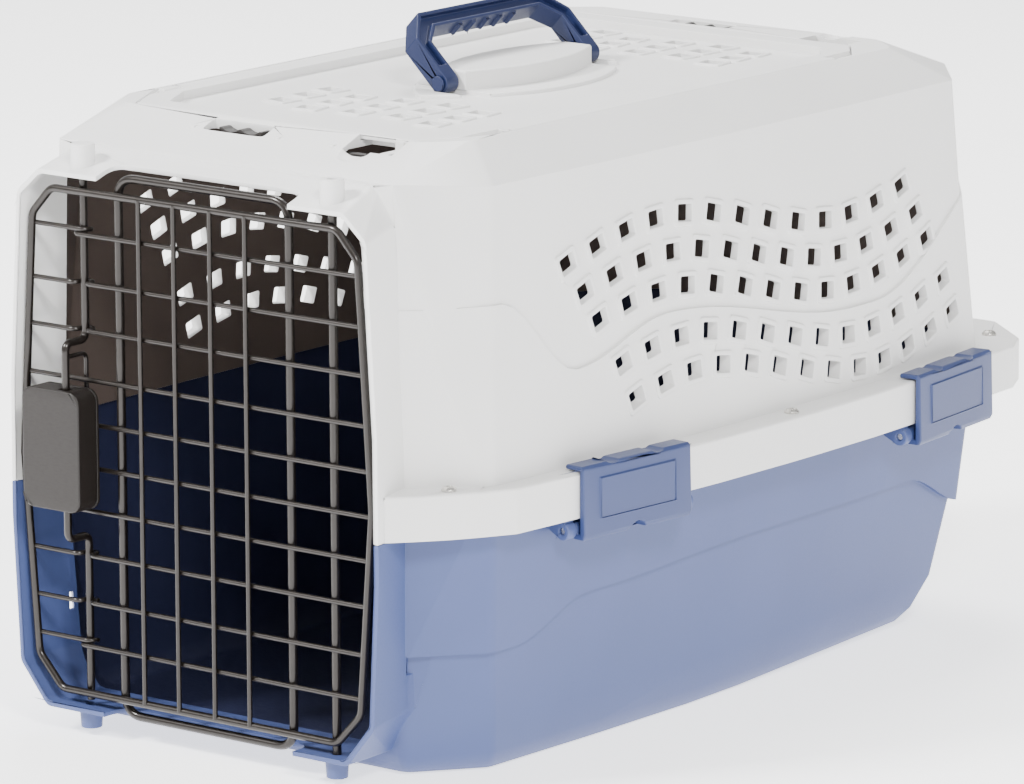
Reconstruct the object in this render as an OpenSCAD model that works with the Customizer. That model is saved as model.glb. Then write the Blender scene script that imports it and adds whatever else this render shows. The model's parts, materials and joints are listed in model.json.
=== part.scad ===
// Pet transport carrier: two moulded shells held by screws and side clips, a wire front door
// with a squeeze latch, a lifting top door and a folding carry handle.
// Millimetres. The front door faces -Y, +Z is up, the origin is on the ground under the middle.

/* [Shells] */
// Thickness of the moulded walls
wall = 3; // [2.5:0.5:3.5]
// Height of the flange skirt's lower edge
skirt_z = 138; // [136:1:139]
// Height of the ledge on top of the flange
ledge_z = 163; // [162:0.5:163.5]
// Height of the roof
roof_z = 341; // [340.5:0.5:341.5]
// How far the moulded bands stand proud
band_out = 3; // [2:0.5:3]

/* [Vents] */
// Columns of vents in each side
vent_cols = 13; // [9:1:13]
// Distance between vent columns
vent_step = 25.6; // [25:0.1:25.8]
// Length and height of a side vent
vent_hole = [12.5, 9.5];
// Width of the raised rim around a vent
vent_rim = 2.6; // [2:0.2:3]
// Height of the wave that the vent rows follow
vent_wave = 12; // [8:1:12]

/* [Front door] */
// Radius of the door's outer frame wire
frame_r = 2.2; // [2:0.1:2.3]
// Radius of the cross wires and uprights
mesh_r = 1.4; // [1.2:0.1:1.5]
// Radius of the hinge rod and the stiffener loop
rod_r = 2.5; // [2.3:0.1:2.6]
// Radius of the two latch rods
latch_r = 2.2; // [1.9:0.1:2.2]
// Place of the hinge rod across the door
hinge_x = 92; // [91:1:93]
// Place of the latch rods across the door
latch_x = -83.4; // [-84:0.1:-83]

/* [Top door] */
// Thickness of the top door's border
lid_t = 3; // [2.5:0.5:3]
// Depth of the recessed panel below the border
panel_drop = 5; // [4:0.5:5]

/* [Handle] */
// Lean of the handle from upright, towards -X
handle_lean = 46; // [40:1:50]
// Reach of the handle from its pivot
handle_reach = 44; // [42:1:46]
// Depth of the handle's section
handle_depth = 12; // [11:0.5:12]

/* [Side clips] */
// Length of a side clip along the flange
clip_len = 86; // [80:1:88]
// Radius of a clip's hinge pin
clip_pin_r = 2; // [1.8:0.1:2.1]

/* [Hidden] */
$fn = 48;
eps = 0.01;
white = [0.88, 0.88, 0.88];
shell_blue = [0.56, 0.62, 0.77];
handle_blue = [0.26, 0.34, 0.58];
wire_brown = [0.26, 0.22, 0.20];
latch_brown = [0.29, 0.25, 0.22];
steel = [0.75, 0.75, 0.76];

// Wall outlines, right half, from the front corner to the rear corner
wall_at_joint = [[123, -248], [158.6, -216], [164, -110], [166, 10], [163, 130], [152, 240],
    [108, 288]];
wall_at_eave = [[118, -248], [146, -200], [148.5, -100], [149.5, 10], [148.5, 120], [146, 222],
    [108, 268]];
eave_z = 321;
front_edge = [[117, -248], [100, 257]];
front_edge_z = 325.3;
roof_edge = [[104, -208], [122, -186], [122, 195], [100, 213]];
inner_edge = [[114, -245], [97, 252]];
inner_roof = [[100, -217], [126, -190], [126, 200], [96, 222]];
inner_roof_z = roof_z - 7;

// Bottom shell outlines, each with its height
base_75 = [[118, -243], [149, -206], [152, -100], [154, 10], [151, 120], [142, 228], [108, 267]];
base_30 = [[116.5, -241], [146.5, -202], [149, -100], [150, 10], [147, 100], [138, 215],
    [105, 254]];
base_12 = [[114.5, -238], [144.5, -199], [146, -100], [146, 10], [142, 80], [132, 205],
    [100, 243]];
base_4 = [[111, -233], [139.5, -195], [141, -100], [141, 10], [136, 80], [125, 200], [94, 237]];
base_0 = [[106, -226], [134, -190], [136, -100], [136, 10], [130, 70], [116, 195], [86, 226]];
band_70 = [[121, -247], [152, -209], [155, -105], [157, 10], [154, 122], [145, 231], [111, 271]];

// Flange outline, right half
flange = [[128, -272], [153, -243], [171, -211], [174, -170], [182, -72], [183, 30],
    [180.5, 132], [169, 232], [167, 256], [156, 278], [118, 309]];
plate_z = ledge_z - 3;
rim_z = plate_z - 3;
skirt_t = 2.5;

// Collar round the front doorway, right half, from the bottom up, as x and z
collar_back = [[106, 14], [121, 40], [123, 159], [117, 305], [104, 325]];
collar_front = [[107, 14], [126, 37], [132, 155], [123, 300], [107, 314]];
collar_y = -277;
collar_root_y = -244;
collar_t = 2.8;
collar_split_y = -262;
lip_y = -262;
lip_x = [-65, 69];

// Pivot bosses of the front door
boss_r = 6.8;
boss_top = [311, 329];
boss_bottom = [4, 19];

// Front door wires
hinge_y = -267;
latch_y = -266.7;
mesh_y = -270.6;
frame_y = -271.6;
upright_y = -273.1;
door_mid_x = -1.8;
door_outline = [[98, 24.2], [114.6, 42], [123.2, 154], [114.6, 288], [100.5, 303.2]];
cross_z = [281, 252.5, 226.5, 199.5, 175, 150.7, 126.6, 101.5, 75, 52];
upright_x = [-38.6, -13.9, 11.7, 36.3];
loop_x = [-58, 62];
loop_z = [15, 313];
loop_corner = 12;
bend_bulge = 0.12;

// Squeeze latch
latch_box_x = [-110, -69];
latch_box_z = [129, 196];
latch_box_y = [-290, -273];
latch_leg_y = -283.5;
latch_wall = 2;
upper_bend_z = 221;
upper_tip_z = 310.6;
upper_end_z = 175.5;
lower_bend_z = 112;
lower_tip_z = 19.4;
lower_end_z = 147;
tail_r = 1.3;

// Top door
lid = [[98, -206], [119, -165], [119, 160], [98, 188]];
lid_gap = 0.8;
lid_top = roof_z;
lid_seat = lid_top - lid_t - 0.5;
opening_in = 12;
tub_in = 13.5;
panel_t = 2.5;
panel_top = lid_top - panel_drop;
hinge_axis = [-117, 338];
barrel_r = 3.4;
groove_r = barrel_r + 0.6;
rail_half = 6.5;
barrel_y = [-150, 145];
hinge_pin_r = 1.8;
top_vent_x = [-57, -29, 0, 29, 57];
top_vent_shift = [5, -5, 0, 4, -4];
top_vent_rows = [-136, -115, -94, 116, 135, 154];
top_vent_hole = [12, 11];

// Top door latches: the bar's distance beyond the door's edge and its heights
bar_out = 10.5;
bar_z = [329, 332.6];
bar_x = [-52, 76];
bar_tip_x = 85.6;
strike_x = [86, 92];
strike_z = [326.5, 336];
tab_x = [-26, 4];

// Handle
handle_mid_y = 5;
pivot_z = 342.6;
handle_half = 69;
handle_top_half = 54;
leg_w = 10.5;
block_half = 57;
pad_half = 86;

// Flange fasteners and clips
screw_spots = [[146, -237.6], [174, 30], [138, 273]];
clip_pin_in = 5.5;
clip_pin_z = 131.5;
clip_spots = [[[174, -170], [182, -72], 0.51], [[180.5, 132], [169, 232], 0.5]];

// --- Outlines and lofts -------------------------------------------------------------

// A whole outline from its right half, counter-clockwise
function both(h) = concat(h, [for (i = [len(h) - 1:-1:0]) [-h[i][0], h[i][1]]]);

function inward(v) = [-v[1], v[0]] / norm(v);

// An outline moved inwards by d, or outwards where d is negative
function inset(p, d) = [for (i = [0:len(p) - 1])
    let (n = len(p),
        a = inward(p[i] - p[(i + n - 1) % n]),
        b = inward(p[(i + 1) % n] - p[i]),
        m = (a + b) / norm(a + b))
    p[i] + m * d / (m * a)];

function mix(a, b, t) = a + (b - a) * t;

// A height that eases from one knot to the next
function ease(t) = (1 - cos(180 * t)) / 2;
function wave(k, y) =
    y <= k[0][0] ? k[0][1] :
    y >= k[len(k) - 1][0] ? k[len(k) - 1][1] :
    let (i = max([for (j = [0:len(k) - 2]) if (k[j][0] <= y) j]))
    mix(k[i][1], k[i + 1][1], ease((y - k[i][0]) / (k[i + 1][0] - k[i][0])));

// Edge of the upper shell's band and of the lower shell's band, as y and z
ridge = [[-200, 258], [-142, 214], [-61, 232], [112, 208], [130, 208], [280, 268]];
emboss = [[-190, 70], [-130, 89.5], [29, 96], [170, 96], [240, 72]];

// The side view's area below or above such an edge
function under(k, low) = concat([[-300, low]], [[320, low]],
    [for (y = [320:-10:-300]) [y, wave(k, y)]]);

module loft(slices) {
    hull()
        for (s = slices)
            translate([0, 0, s[0]])
                linear_extrude(eps)
                    polygon(s[1]);
}

// A drawing in y and z, carried across the whole width
module across(w = 420) {
    rotate([90, 0, 90])
        linear_extrude(w, center = true)
            children();
}

// A drawing in x and z, carried from y0 to y1
module along(y0, y1) {
    translate([0, y1, 0])
        rotate([90, 0, 0])
            linear_extrude(y1 - y0)
                children();
}

module box(x, y, z) {
    translate([x[0], y[0], z[0]])
        cube([x[1] - x[0], y[1] - y[0], z[1] - z[0]]);
}

// A round bar between two points
module bar(a, b, r) {
    d = b - a;
    translate(a)
        rotate([0, acos(d[2] / norm(d)), atan2(d[1], d[0])])
            cylinder(h = norm(d), r = r);
}

// A wire through a list of points, with a rounded bend at each inner point
module wire(points, r, closed = false) {
    n = len(points);
    for (i = [0:n - (closed ? 1 : 2)])
        bar(points[i], points[(i + 1) % n], r);
    for (i = [closed ? 0 : 1:n - (closed ? 1 : 2)])
        translate(points[i])
            sphere(r = r + bend_bulge);
}

// --- Collar and bosses, shared by both shells ------------------------------------------

module collar_loft(t) {
    hull() {
        along(collar_root_y - eps, collar_root_y)
            polygon(inset(both(collar_back), t));
        along(collar_y, collar_y + eps)
            polygon(inset(both(collar_front), t));
    }
}

// The doorway's clear space, run out past the front
module doorway() {
    collar_loft(collar_t);
    along(collar_y - 5, collar_y + 2 * eps)
        polygon(inset(both(collar_front), collar_t));
    along(collar_root_y - 1, -225)
        polygon(inset(both(collar_back), collar_t));
}

// The lips are set back between the boss tabs, where the stiffener loop passes
module lip_relief(z) {
    r = 9;
    difference() {
        box(lip_x, [-300, lip_y], z);
        for (s = [0, 1])
            translate([lip_x[s] + (s == 0 ? r : -r), lip_y - r, z[0] - 1])
                difference() {
                    translate([s == 0 ? -r - 1 : 0, 0, 0])
                        cube([r + 1, r + 1, z[1] - z[0] + 2]);
                    cylinder(h = 200, r = r);
                }
    }
}

module boss(x, y, z, r1, r2) {
    translate([x, y, z[0]])
        cylinder(h = z[1] - z[0], r1 = r1, r2 = r2);
}

module bore(x, y, z, r) {
    translate([x, y, z[0]])
        cylinder(h = z[1] - z[0], r = r);
}

module screw_holes(r) {
    for (s = [-1, 1], p = screw_spots)
        translate([s * p[0], p[1], rim_z - 1])
            cylinder(h = 8, r = r);
}

// --- Side vents -------------------------------------------------------------------------

vent_rows = [[272.5, -143, -58], [252.3, -130, -58], [233, -119, -58], [206, -104, -48],
    [186, -95, -38]];
vent_period = 318;

module side_vents(rows, grow) {
    for (r = rows, i = [0:vent_cols - 1]) {
        y = vent_rows[r][1] + i * vent_step;
        a = 360 * (y - vent_rows[r][2]) / vent_period;
        slope = -vent_wave * 2 * PI / vent_period * sin(a);
        translate([y, vent_rows[r][0] + vent_wave * cos(a)])
            rotate(atan(1.5 * slope))
                square([vent_hole[0] + 2 * grow, vent_hole[1] + 2 * grow], center = true);
    }
}

// --- Shells -----------------------------------------------------------------------------

module upper_wall(out) {
    loft([[plate_z, inset(both(wall_at_joint), band_out - out)],
        [eave_z, inset(both(wall_at_eave), -out)],
        [front_edge_z, both(front_edge)],
        [roof_z, both(roof_edge)]]);
}

module upper_band(out) {
    t = 0.75;
    loft([[plate_z, inset(both(wall_at_joint), -out)],
        [mix(plate_z, eave_z, t),
            inset(both(mix(wall_at_joint, wall_at_eave, t)), -out)]]);
}

module upper_cavity() {
    loft([[skirt_z - 20, inset(both(wall_at_joint), wall + band_out / 2)],
        [eave_z - wall, inset(both(wall_at_eave), wall)],
        [front_edge_z - 3.8, both(inner_edge)],
        [inner_roof_z, both(inner_roof)]]);
}

// Slider slot, corner notch and guide holes for one top latch, dir is -1 in front, 1 behind
module latch_cuts(edge_y, dir) {
    yb = edge_y + dir * bar_out;
    box([tab_x[0] - 11, tab_x[1] + 2], [yb - 5.5, yb + 5.5], [320, 350]);
    box([62, 96], [min(edge_y - dir * 9, yb + dir * 6), max(edge_y - dir * 9, yb + dir * 6)],
        [320, 350]);
    translate([72, yb + dir * 13, dir < 0 ? 347.5 : 355])
        sphere(r = 17);
}

module latch_guides(edge_y, dir) {
    yb = edge_y + dir * bar_out;
    for (x = [-46, 14, 52])
        difference() {
            box([x, x + 4], [yb - 6, yb + 6], [326, inner_roof_z + 2.5]);
            box([x - 1, x + 5], [yb - 2.9, yb + 2.9], [bar_z[0] - 0.4, bar_z[1] + 0.4]);
        }
}

module lid_knuckles() {
    for (y = [[-163.5, barrel_y[0] - 0.4], [barrel_y[1] + 0.4, 158.5]]) {
        box([-122, -112], y, [inner_roof_z, hinge_axis[1]]);
        translate([hinge_axis[0], y[1], hinge_axis[1]])
            rotate([90, 0, 0])
                cylinder(h = y[1] - y[0], r = barrel_r);
    }
}

module top_shell() {
    color(white)
    difference() {
        union() {
            upper_wall(0);
            intersection() {
                upper_band(0);
                across()
                    polygon(under(ridge, plate_z - 1));
            }
            intersection() {
                upper_wall(1.2);
                across()
                    side_vents([0, 1, 2], vent_rim);
            }
            intersection() {
                upper_band(1.2);
                across()
                    side_vents([3, 4], vent_rim);
            }
            difference() {
                union() {
                    translate([0, 0, skirt_z])
                        linear_extrude(ledge_z - skirt_z)
                            polygon(both(flange));
                    intersection() {
                        collar_loft(0);
                        box([-150, 150], [-280, -243], [skirt_z, 330]);
                    }
                }
                translate([0, 0, skirt_z - 1])
                    linear_extrude(plate_z - skirt_z + 1)
                        difference() {
                            polygon(inset(both(flange), skirt_t));
                            translate([-132, -290])
                                square([264, 290 + collar_split_y]);
                        }
            }
            difference() {
                latch_bosses_top();
                lip_relief([300, 335]);
            }
        }
        difference() {
            upper_cavity();
            roof_guides();
        }
        doorway();
        lip_relief([300, 335]);
        across()
            side_vents([0, 1, 2, 3, 4], 0);
        lid_pocket();
        latch_cuts(lid[0][1], -1);
        latch_cuts(lid[3][1], 1);
        bore(hinge_x, hinge_y, [300, 335], rod_r + 0.05);
        bore(latch_x, latch_y, [300, 322], latch_r + 0.4);
        screw_holes(2.2);
    }
}

module latch_bosses_top() {
    boss(hinge_x, hinge_y, boss_top, boss_r, boss_r);
    boss(latch_x, latch_y, boss_top, boss_r, boss_r);
}

// Guides for both top door latches under the roof, and rails under the hinge grooves
module roof_guides() {
    latch_guides(lid[0][1], -1);
    latch_guides(lid[3][1], 1);
    for (s = [-1, 1])
        box([s * hinge_axis[0] - rail_half, s * hinge_axis[0] + rail_half], [-165, 160],
            [inner_roof_z - 3, inner_roof_z + 2]);
}

// The seat that the top door lies in, the opening under it and the hinge groove
module lid_pocket() {
    difference() {
        union() {
            translate([0, 0, lid_seat])
                linear_extrude(20)
                    polygon(inset(both(lid), -lid_gap));
            for (s = [-1, 1])
                translate([s * hinge_axis[0], barrel_y[1] + 0.4, hinge_axis[1]]) {
                    rotate([90, 0, 0])
                        cylinder(h = barrel_y[1] - barrel_y[0] + 0.8, r = groove_r);
                    translate([-groove_r, barrel_y[0] - barrel_y[1] - 0.8, 0])
                        cube([2 * groove_r, barrel_y[1] - barrel_y[0] + 0.8, 20]);
                }
        }
        lid_knuckles();
    }
    translate([0, 0, inner_roof_z - 20])
        linear_extrude(40)
            polygon(inset(both(lid), opening_in));
    translate([hinge_axis[0], 163, hinge_axis[1]])
        rotate([90, 0, 0])
            cylinder(h = 330, r = hinge_pin_r + 0.05);
}

module bottom_shell() {
    color(shell_blue)
    difference() {
        union() {
            loft([[0, both(base_0)], [4, both(base_4)], [12, both(base_12)],
                [30, both(base_30)], [75, both(base_75)],
                [plate_z - eps, inset(both(wall_at_joint), band_out)]]);
            intersection() {
                loft([[70, both(band_70)], [plate_z - eps, both(wall_at_joint)]]);
                difference() {
                    across()
                        square([700, 400], center = true);
                    across(430)
                        polygon(under(emboss, -10));
                }
            }
            translate([0, 0, rim_z])
                linear_extrude(plate_z - rim_z)
                    difference() {
                        polygon(inset(both(flange), skirt_t + 0.6));
                        translate([-150, -300])
                            square([300, 47]);
                    }
            intersection() {
                collar_loft(0);
                union() {
                    box([-150, 150], [-280, -243], [0, skirt_z - 0.3]);
                    box([-150, 150], [collar_split_y + 0.3, -243], [skirt_z - 1, plate_z - eps]);
                }
            }
            intersection() {
                along(collar_root_y - 1, -228)
                    polygon(both(collar_back));
                box([-150, 150], [-246, -228], [0, 60]);
            }
            boss(hinge_x, hinge_y, boss_bottom, boss_r - 1, boss_r);
            boss(latch_x, latch_y, boss_bottom, boss_r - 1, boss_r);
            clip_lugs();
        }
        loft([[3, inset(both(base_0), wall)], [6, inset(both(base_4), wall)],
            [13, inset(both(base_12), wall)], [30, inset(both(base_30), wall)],
            [75, inset(both(base_75), wall)],
            [plate_z + 1, inset(both(wall_at_joint), wall + band_out / 2)]]);
        doorway();
        lip_relief([0, 30]);
        bore(hinge_x, hinge_y, [6.5, 25], rod_r + 0.05);
        bore(latch_x, latch_y, [7, 25], latch_r + 0.4);
        screw_holes(2.2);
        clip_bores();
    }
}

// --- Flange fasteners ---------------------------------------------------------------------

module shell_screws() {
    color(steel)
    for (s = [-1, 1], p = screw_spots)
        translate([s * p[0], p[1], 0])
            difference() {
                union() {
                    translate([0, 0, rim_z - 5])
                        cylinder(h = ledge_z - rim_z + 5.5, r = 2);
                    translate([0, 0, ledge_z])
                        cylinder(h = 1, r = 4.2);
                    translate([0, 0, ledge_z + 1])
                        cylinder(h = 1.4, r1 = 4.2, r2 = 2.8);
                }
                for (a = [0, 90])
                    translate([0, 0, ledge_z + 2.4])
                        rotate(a)
                            cube([4.4, 0.9, 1.8], center = true);
            }
}

module shell_nuts() {
    color(steel)
    for (s = [-1, 1], p = screw_spots)
        translate([s * p[0], p[1], rim_z - 3.2])
            difference() {
                cylinder(h = 3.2, r = 3.9, $fn = 6);
                translate([0, 0, -1])
                    cylinder(h = 6, r = 2.05, $fn = 48);
            }
}

// --- Side clips -----------------------------------------------------------------------------
// A clip's own frame: x runs outwards from the skirt's face, y along the flange, z up.

module at_clip(i, side) {
    a = clip_spots[i][0];
    b = clip_spots[i][1];
    m = mix(a, b, clip_spots[i][2]);
    mirror([side < 0 ? 1 : 0, 0, 0])
        translate([m[0], m[1], 0])
            rotate(atan2(b[1] - a[1], b[0] - a[0]) - 90)
                children();
}

module pin_along(r, len) {
    translate([-clip_pin_in, len / 2, clip_pin_z])
        rotate([90, 0, 0])
            cylinder(h = len, r = r);
}

module clip_lugs() {
    for (side = [-1, 1], i = [0, 1])
        at_clip(i, side)
            for (s = [-1, 1])
                translate([0, s * (clip_len / 2 + 4), 0]) {
                    pin_along(5, 7);
                    along(-3.5, 3.5)
                        polygon([[-24, rim_z], [-3.4, rim_z], [-3.4, 137], [-5.5, clip_pin_z],
                            [-9, 128], [-24, 136]]);
                }
}

module clip_bores() {
    for (side = [-1, 1], i = [0, 1])
        at_clip(i, side)
            pin_along(clip_pin_r + 0.03, clip_len + 13);
}

module clip_pins() {
    color(steel)
    for (side = [-1, 1], i = [0, 1])
        at_clip(i, side)
            pin_along(clip_pin_r, clip_len + 12);
}

module clip(i, side) {
    half = clip_len / 2;
    top = ledge_z + 0.9;
    color(shell_blue)
    at_clip(i, side)
        difference() {
            union() {
                along(-half, half)
                    polygon([[0.6, 129], [0.6, top], [-9, top], [-9.6, top + 0.6],
                        [-9.6, top + 2], [-8.8, top + 2.8], [2, top + 2.8], [3.6, top + 1.2],
                        [4.6, 129], [3.2, 126.2], [-4, 126.2], [-5, 130]]);
                pin_along(4.5, clip_len);
                translate([3.2, 0, 148])
                    rotate([90, 0, 90])
                        linear_extrude(1.4)
                            square([clip_len - 26, 22], center = true);
            }
            pin_along(clip_pin_r + 0.06, clip_len + 2);
            translate([8.2, 0, 122.5])
                rotate([90, 0, 90])
                    cylinder(h = 24, r = 8, center = true);
            for (s = [-1, 1])
                translate([-6, s * 18, ledge_z + 9.5])
                    rotate([0, 90, 0])
                        cylinder(h = 20, r = 7.4, center = true);
        }
}

module clip_front_right() {
    clip(0, 1);
}

module clip_rear_right() {
    clip(1, 1);
}

module clip_front_left() {
    clip(0, -1);
}

module clip_rear_left() {
    clip(1, -1);
}

// --- Top door -----------------------------------------------------------------------------

// Two arcs meeting at the ends, like a lens
module lens(half_len, half_w) {
    r = (half_len * half_len + half_w * half_w) / (2 * half_w);
    intersection() {
        translate([r - half_w, 0])
            circle(r = r, $fn = 96);
        translate([half_w - r, 0])
            circle(r = r, $fn = 96);
    }
}

module top_vents(grow) {
    for (y = top_vent_rows, i = [0:len(top_vent_x) - 1])
        translate([top_vent_x[i], y + top_vent_shift[i]])
            rotate(-1.6 * top_vent_shift[i])
                square([top_vent_hole[0] + 2 * grow, top_vent_hole[1] + 2 * grow], center = true);
}

module strike(edge_y, dir) {
    yb = edge_y + dir * bar_out;
    difference() {
        union() {
            box(strike_x, [min(edge_y - dir * 2, yb + dir * 4), max(edge_y - dir * 2, yb + dir * 4)],
                [strike_z[0], strike_z[1] - 1]);
            box(strike_x, [min(edge_y - dir * 8, edge_y + dir * 1.5),
                max(edge_y - dir * 8, edge_y + dir * 1.5)], [strike_z[0], lid_top - 1]);
        }
        translate([strike_x[0] - 1, yb, mix(bar_z[0], bar_z[1], 0.5)])
            rotate([0, 90, 0])
                cylinder(h = 5, r = 2.7);
    }
}

module top_door() {
    color(white)
    difference() {
        union() {
            difference() {
                union() {
                    translate([0, 0, lid_top - lid_t])
                        linear_extrude(lid_t)
                            polygon(both(lid));
                    translate([0, 0, panel_top - panel_t])
                        linear_extrude(lid_top - lid_t - panel_top + panel_t + 0.1)
                            polygon(inset(both(lid), tub_in));
                    for (s = [-1, 1])
                        translate([s * hinge_axis[0], barrel_y[1], hinge_axis[1]])
                            rotate([90, 0, 0])
                                cylinder(h = barrel_y[1] - barrel_y[0], r = barrel_r);
                }
                translate([0, 0, panel_top])
                    linear_extrude(20)
                        polygon(inset(both(lid), tub_in + 2.8));
                for (s = [-1, 1], y = [[-182, barrel_y[0]], [barrel_y[1], 172]])
                    box([s > 0 ? 110.5 : -125, s > 0 ? 125 : -110.5], y, [325, 350]);
            }
            translate([0, 0, panel_top - eps])
                linear_extrude(1.2)
                    top_vents(vent_rim);
            translate([0, handle_mid_y, panel_top - eps])
                linear_extrude(2.2)
                    lens(pad_half, 44);
            translate([0, handle_mid_y, panel_top - eps])
                linear_extrude(13)
                    intersection() {
                        lens(block_half + 14, 24);
                        square([80, 2 * block_half], center = true);
                    }
            strike(lid[0][1], -1);
            strike(lid[3][1], 1);
        }
        translate([0, 0, 320])
            linear_extrude(40)
                top_vents(0);
        for (s = [-1, 1]) {
            translate([0, handle_mid_y + s * (handle_half - leg_w / 2), 0])
                box([-30, 30], [-leg_w / 2 - 1.4, leg_w / 2 + 1.4], [panel_top, 360]);
            translate([0, handle_mid_y + s * (block_half + eps), pivot_z])
                rotate([s * 90, 0, 0])
                    cylinder(h = 14, r = 3);
        }
        translate([hinge_axis[0], 170, hinge_axis[1]])
            rotate([90, 0, 0])
                cylinder(h = 340, r = hinge_pin_r + 0.08);
    }
}

module top_door_hinge_rod() {
    color(wire_brown)
    translate([hinge_axis[0], 158, hinge_axis[1]])
        rotate([90, 0, 0])
            cylinder(h = 321, r = hinge_pin_r);
}

module top_latch(edge_y, dir) {
    yb = edge_y + dir * bar_out;
    color(latch_brown) {
        box(bar_x, [yb - 2.5, yb + 2.5], bar_z);
        translate([bar_x[1] - 2, yb, mix(bar_z[0], bar_z[1], 0.5)])
            rotate([0, 90, 0])
                cylinder(h = bar_tip_x - bar_x[1] + 2, r = 2.2);
        difference() {
            box(tab_x, [yb - 4, yb + 4], [bar_z[0], roof_z - (dir < 0 ? 3.6 : 0.6)]);
            for (t = [0.27, 0.73])
                translate([mix(tab_x[0], tab_x[1], t), yb, roof_z + (dir < 0 ? 4.4 : 7.4)])
                    rotate([90, 0, 0])
                        cylinder(h = 20, r = 10, center = true);
        }
    }
}

module top_latch_front() {
    top_latch(lid[0][1], -1);
}

module top_latch_rear() {
    top_latch(lid[3][1], 1);
}

// --- Handle -------------------------------------------------------------------------------

module handle_outline(in) {
    h = handle_half - in;
    t = handle_top_half - in * 0.7;
    polygon(both([[h, 0], [h, handle_reach - 16 - in * 0.4], [t, handle_reach - in]]));
}

// The bail, upright, with its pivot on the Y axis and its depth along X
module bail() {
    d = handle_depth;
    difference() {
        union() {
            rotate([90, 0, 90])
                linear_extrude(d, center = true)
                    difference() {
                        handle_outline(0);
                        handle_outline(leg_w);
                    }
            for (s = [-1, 1])
                translate([0, s * (handle_half - leg_w / 2), 0])
                    rotate([90, 0, 0])
                        cylinder(h = leg_w, r = d / 2, center = true);
        }
        for (s = [-1, 1])
            translate([s * (d / 2 + 5.6 - 3.4), 0, 0])
                rotate([90, 0, 90])
                    linear_extrude(11.2, center = true)
                        difference() {
                            handle_outline(2.2);
                            handle_outline(leg_w - 2.2);
                            square([200, 16], center = true);
                        }
        for (s = [-1, 1])
            translate([0, s * (handle_half - leg_w / 2), 0])
                rotate([90, 0, 0])
                    cylinder(h = leg_w + 2, r = 3.06, center = true);
    }
    for (i = [-2:2])
        translate([0, i * 12, handle_reach - leg_w - 0.4])
            rotate([0, 90, 0])
                cylinder(h = d - 3, r = 1.6, center = true);
}

module handle() {
    color(handle_blue)
    translate([0, handle_mid_y, pivot_z])
        rotate([0, -handle_lean, 0])
            bail();
}

module handle_pins() {
    color(handle_blue)
    for (s = [-1, 1])
        translate([0, handle_mid_y + s * (block_half - 11.5), pivot_z])
            rotate([-s * 90, 0, 0]) {
                cylinder(h = handle_half - block_half + 11, r = 3);
                translate([0, 0, handle_half - block_half + 11.9])
                    cylinder(h = 1.4, r = 4.4);
                translate([0, 0, handle_half - block_half + 10.5])
                    cylinder(h = 1.5, r = 3);
            }
}

// --- Front door ---------------------------------------------------------------------------

// Half width of the door at height z
function door_half(z) =
    let (o = door_outline,
        i = max([for (j = [0:len(o) - 2]) if (o[j][1] <= z) j]))
    mix(o[i][0], o[i + 1][0], (z - o[i][1]) / (o[i + 1][1] - o[i][1]));

module door_frame_wire() {
    color(wire_brown)
    wire([for (p = both(door_outline)) [door_mid_x + p[0], frame_y, p[1]]], frame_r,
        closed = true);
}

// A quarter bend of the loop, about a centre, starting at an angle from +X
module loop_bend(x, z, start) {
    translate([x, hinge_y, z])
        rotate([90, -start, 0])
            rotate_extrude(angle = 90)
                translate([loop_corner, 0])
                    circle(r = rod_r);
}

module door_stiffener_loop() {
    c = loop_corner;
    x = loop_x;
    z = loop_z;
    y = hinge_y;
    color(wire_brown) {
        for (a = x)
            bar([a, y, z[0] + c], [a, y, z[1] - c], rod_r);
        for (b = z)
            bar([x[0] + c, y, b], [x[1] - c, y, b], rod_r);
        loop_bend(x[1] - c, z[1] - c, 0);
        loop_bend(x[0] + c, z[1] - c, 90);
        loop_bend(x[0] + c, z[0] + c, 180);
        loop_bend(x[1] - c, z[0] + c, 270);
    }
}

module door_hinge_rod() {
    color(wire_brown)
    translate([hinge_x, hinge_y, 7])
        cylinder(h = 319.5, r = rod_r);
}

module door_upright_wires() {
    color(wire_brown)
    for (x = upright_x)
        translate([x, upright_y, door_outline[0][1]])
            cylinder(h = door_outline[4][1] - door_outline[0][1], r = mesh_r);
}

// One cross wire. coil is 0 for a plain wire, 1 where it bends behind a latch rod and 2
// where it makes a whole turn round it.
module cross_wire(z, coil) {
    w = door_half(z);
    left = [door_mid_x - w, mesh_y, z];
    right = [door_mid_x + w, mesh_y, z];
    turn = latch_r + 0.35 + mesh_r;
    l = latch_x - turn;
    m = latch_x + turn;
    back_y = latch_y + turn;
    rise = [0, 0, mesh_r + 0.15];
    if (coil == 0)
        bar(left, right, mesh_r);
    if (coil == 1)
        wire([left, [l, mesh_y, z], [l, back_y, z], [m, back_y, z], [m, mesh_y, z], right],
            mesh_r);
    if (coil == 2) {
        wire([for (p = [left, [m, mesh_y, z], [m, back_y, z], [l, back_y, z],
            [l, latch_y - 2, z]]) p + rise], mesh_r);
        wire([for (p = [[m, latch_y - 1, z], [m, back_y, z], [l, back_y, z], [l, mesh_y, z],
            right]) p - rise], mesh_r);
    }
}

module door_cross_wires() {
    color(wire_brown)
    for (i = [0:len(cross_z) - 1])
        cross_wire(cross_z[i],
            i == 0 || i == 9 ? 2 : i == 1 || i == 2 || i == 7 || i == 8 ? 1 : 0);
}

// --- Squeeze latch --------------------------------------------------------------------------

module rounded(x, z, r) {
    for (a = [x[0] + r, x[1] - r], b = [z[0] + r, z[1] - r])
        translate([a, b])
            circle(r = r);
    translate([x[0] + r, z[0]])
        square([x[1] - x[0] - 2 * r, z[1] - z[0]]);
    translate([x[0], z[0] + r])
        square([x[1] - x[0], z[1] - z[0] - 2 * r]);
}

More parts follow.
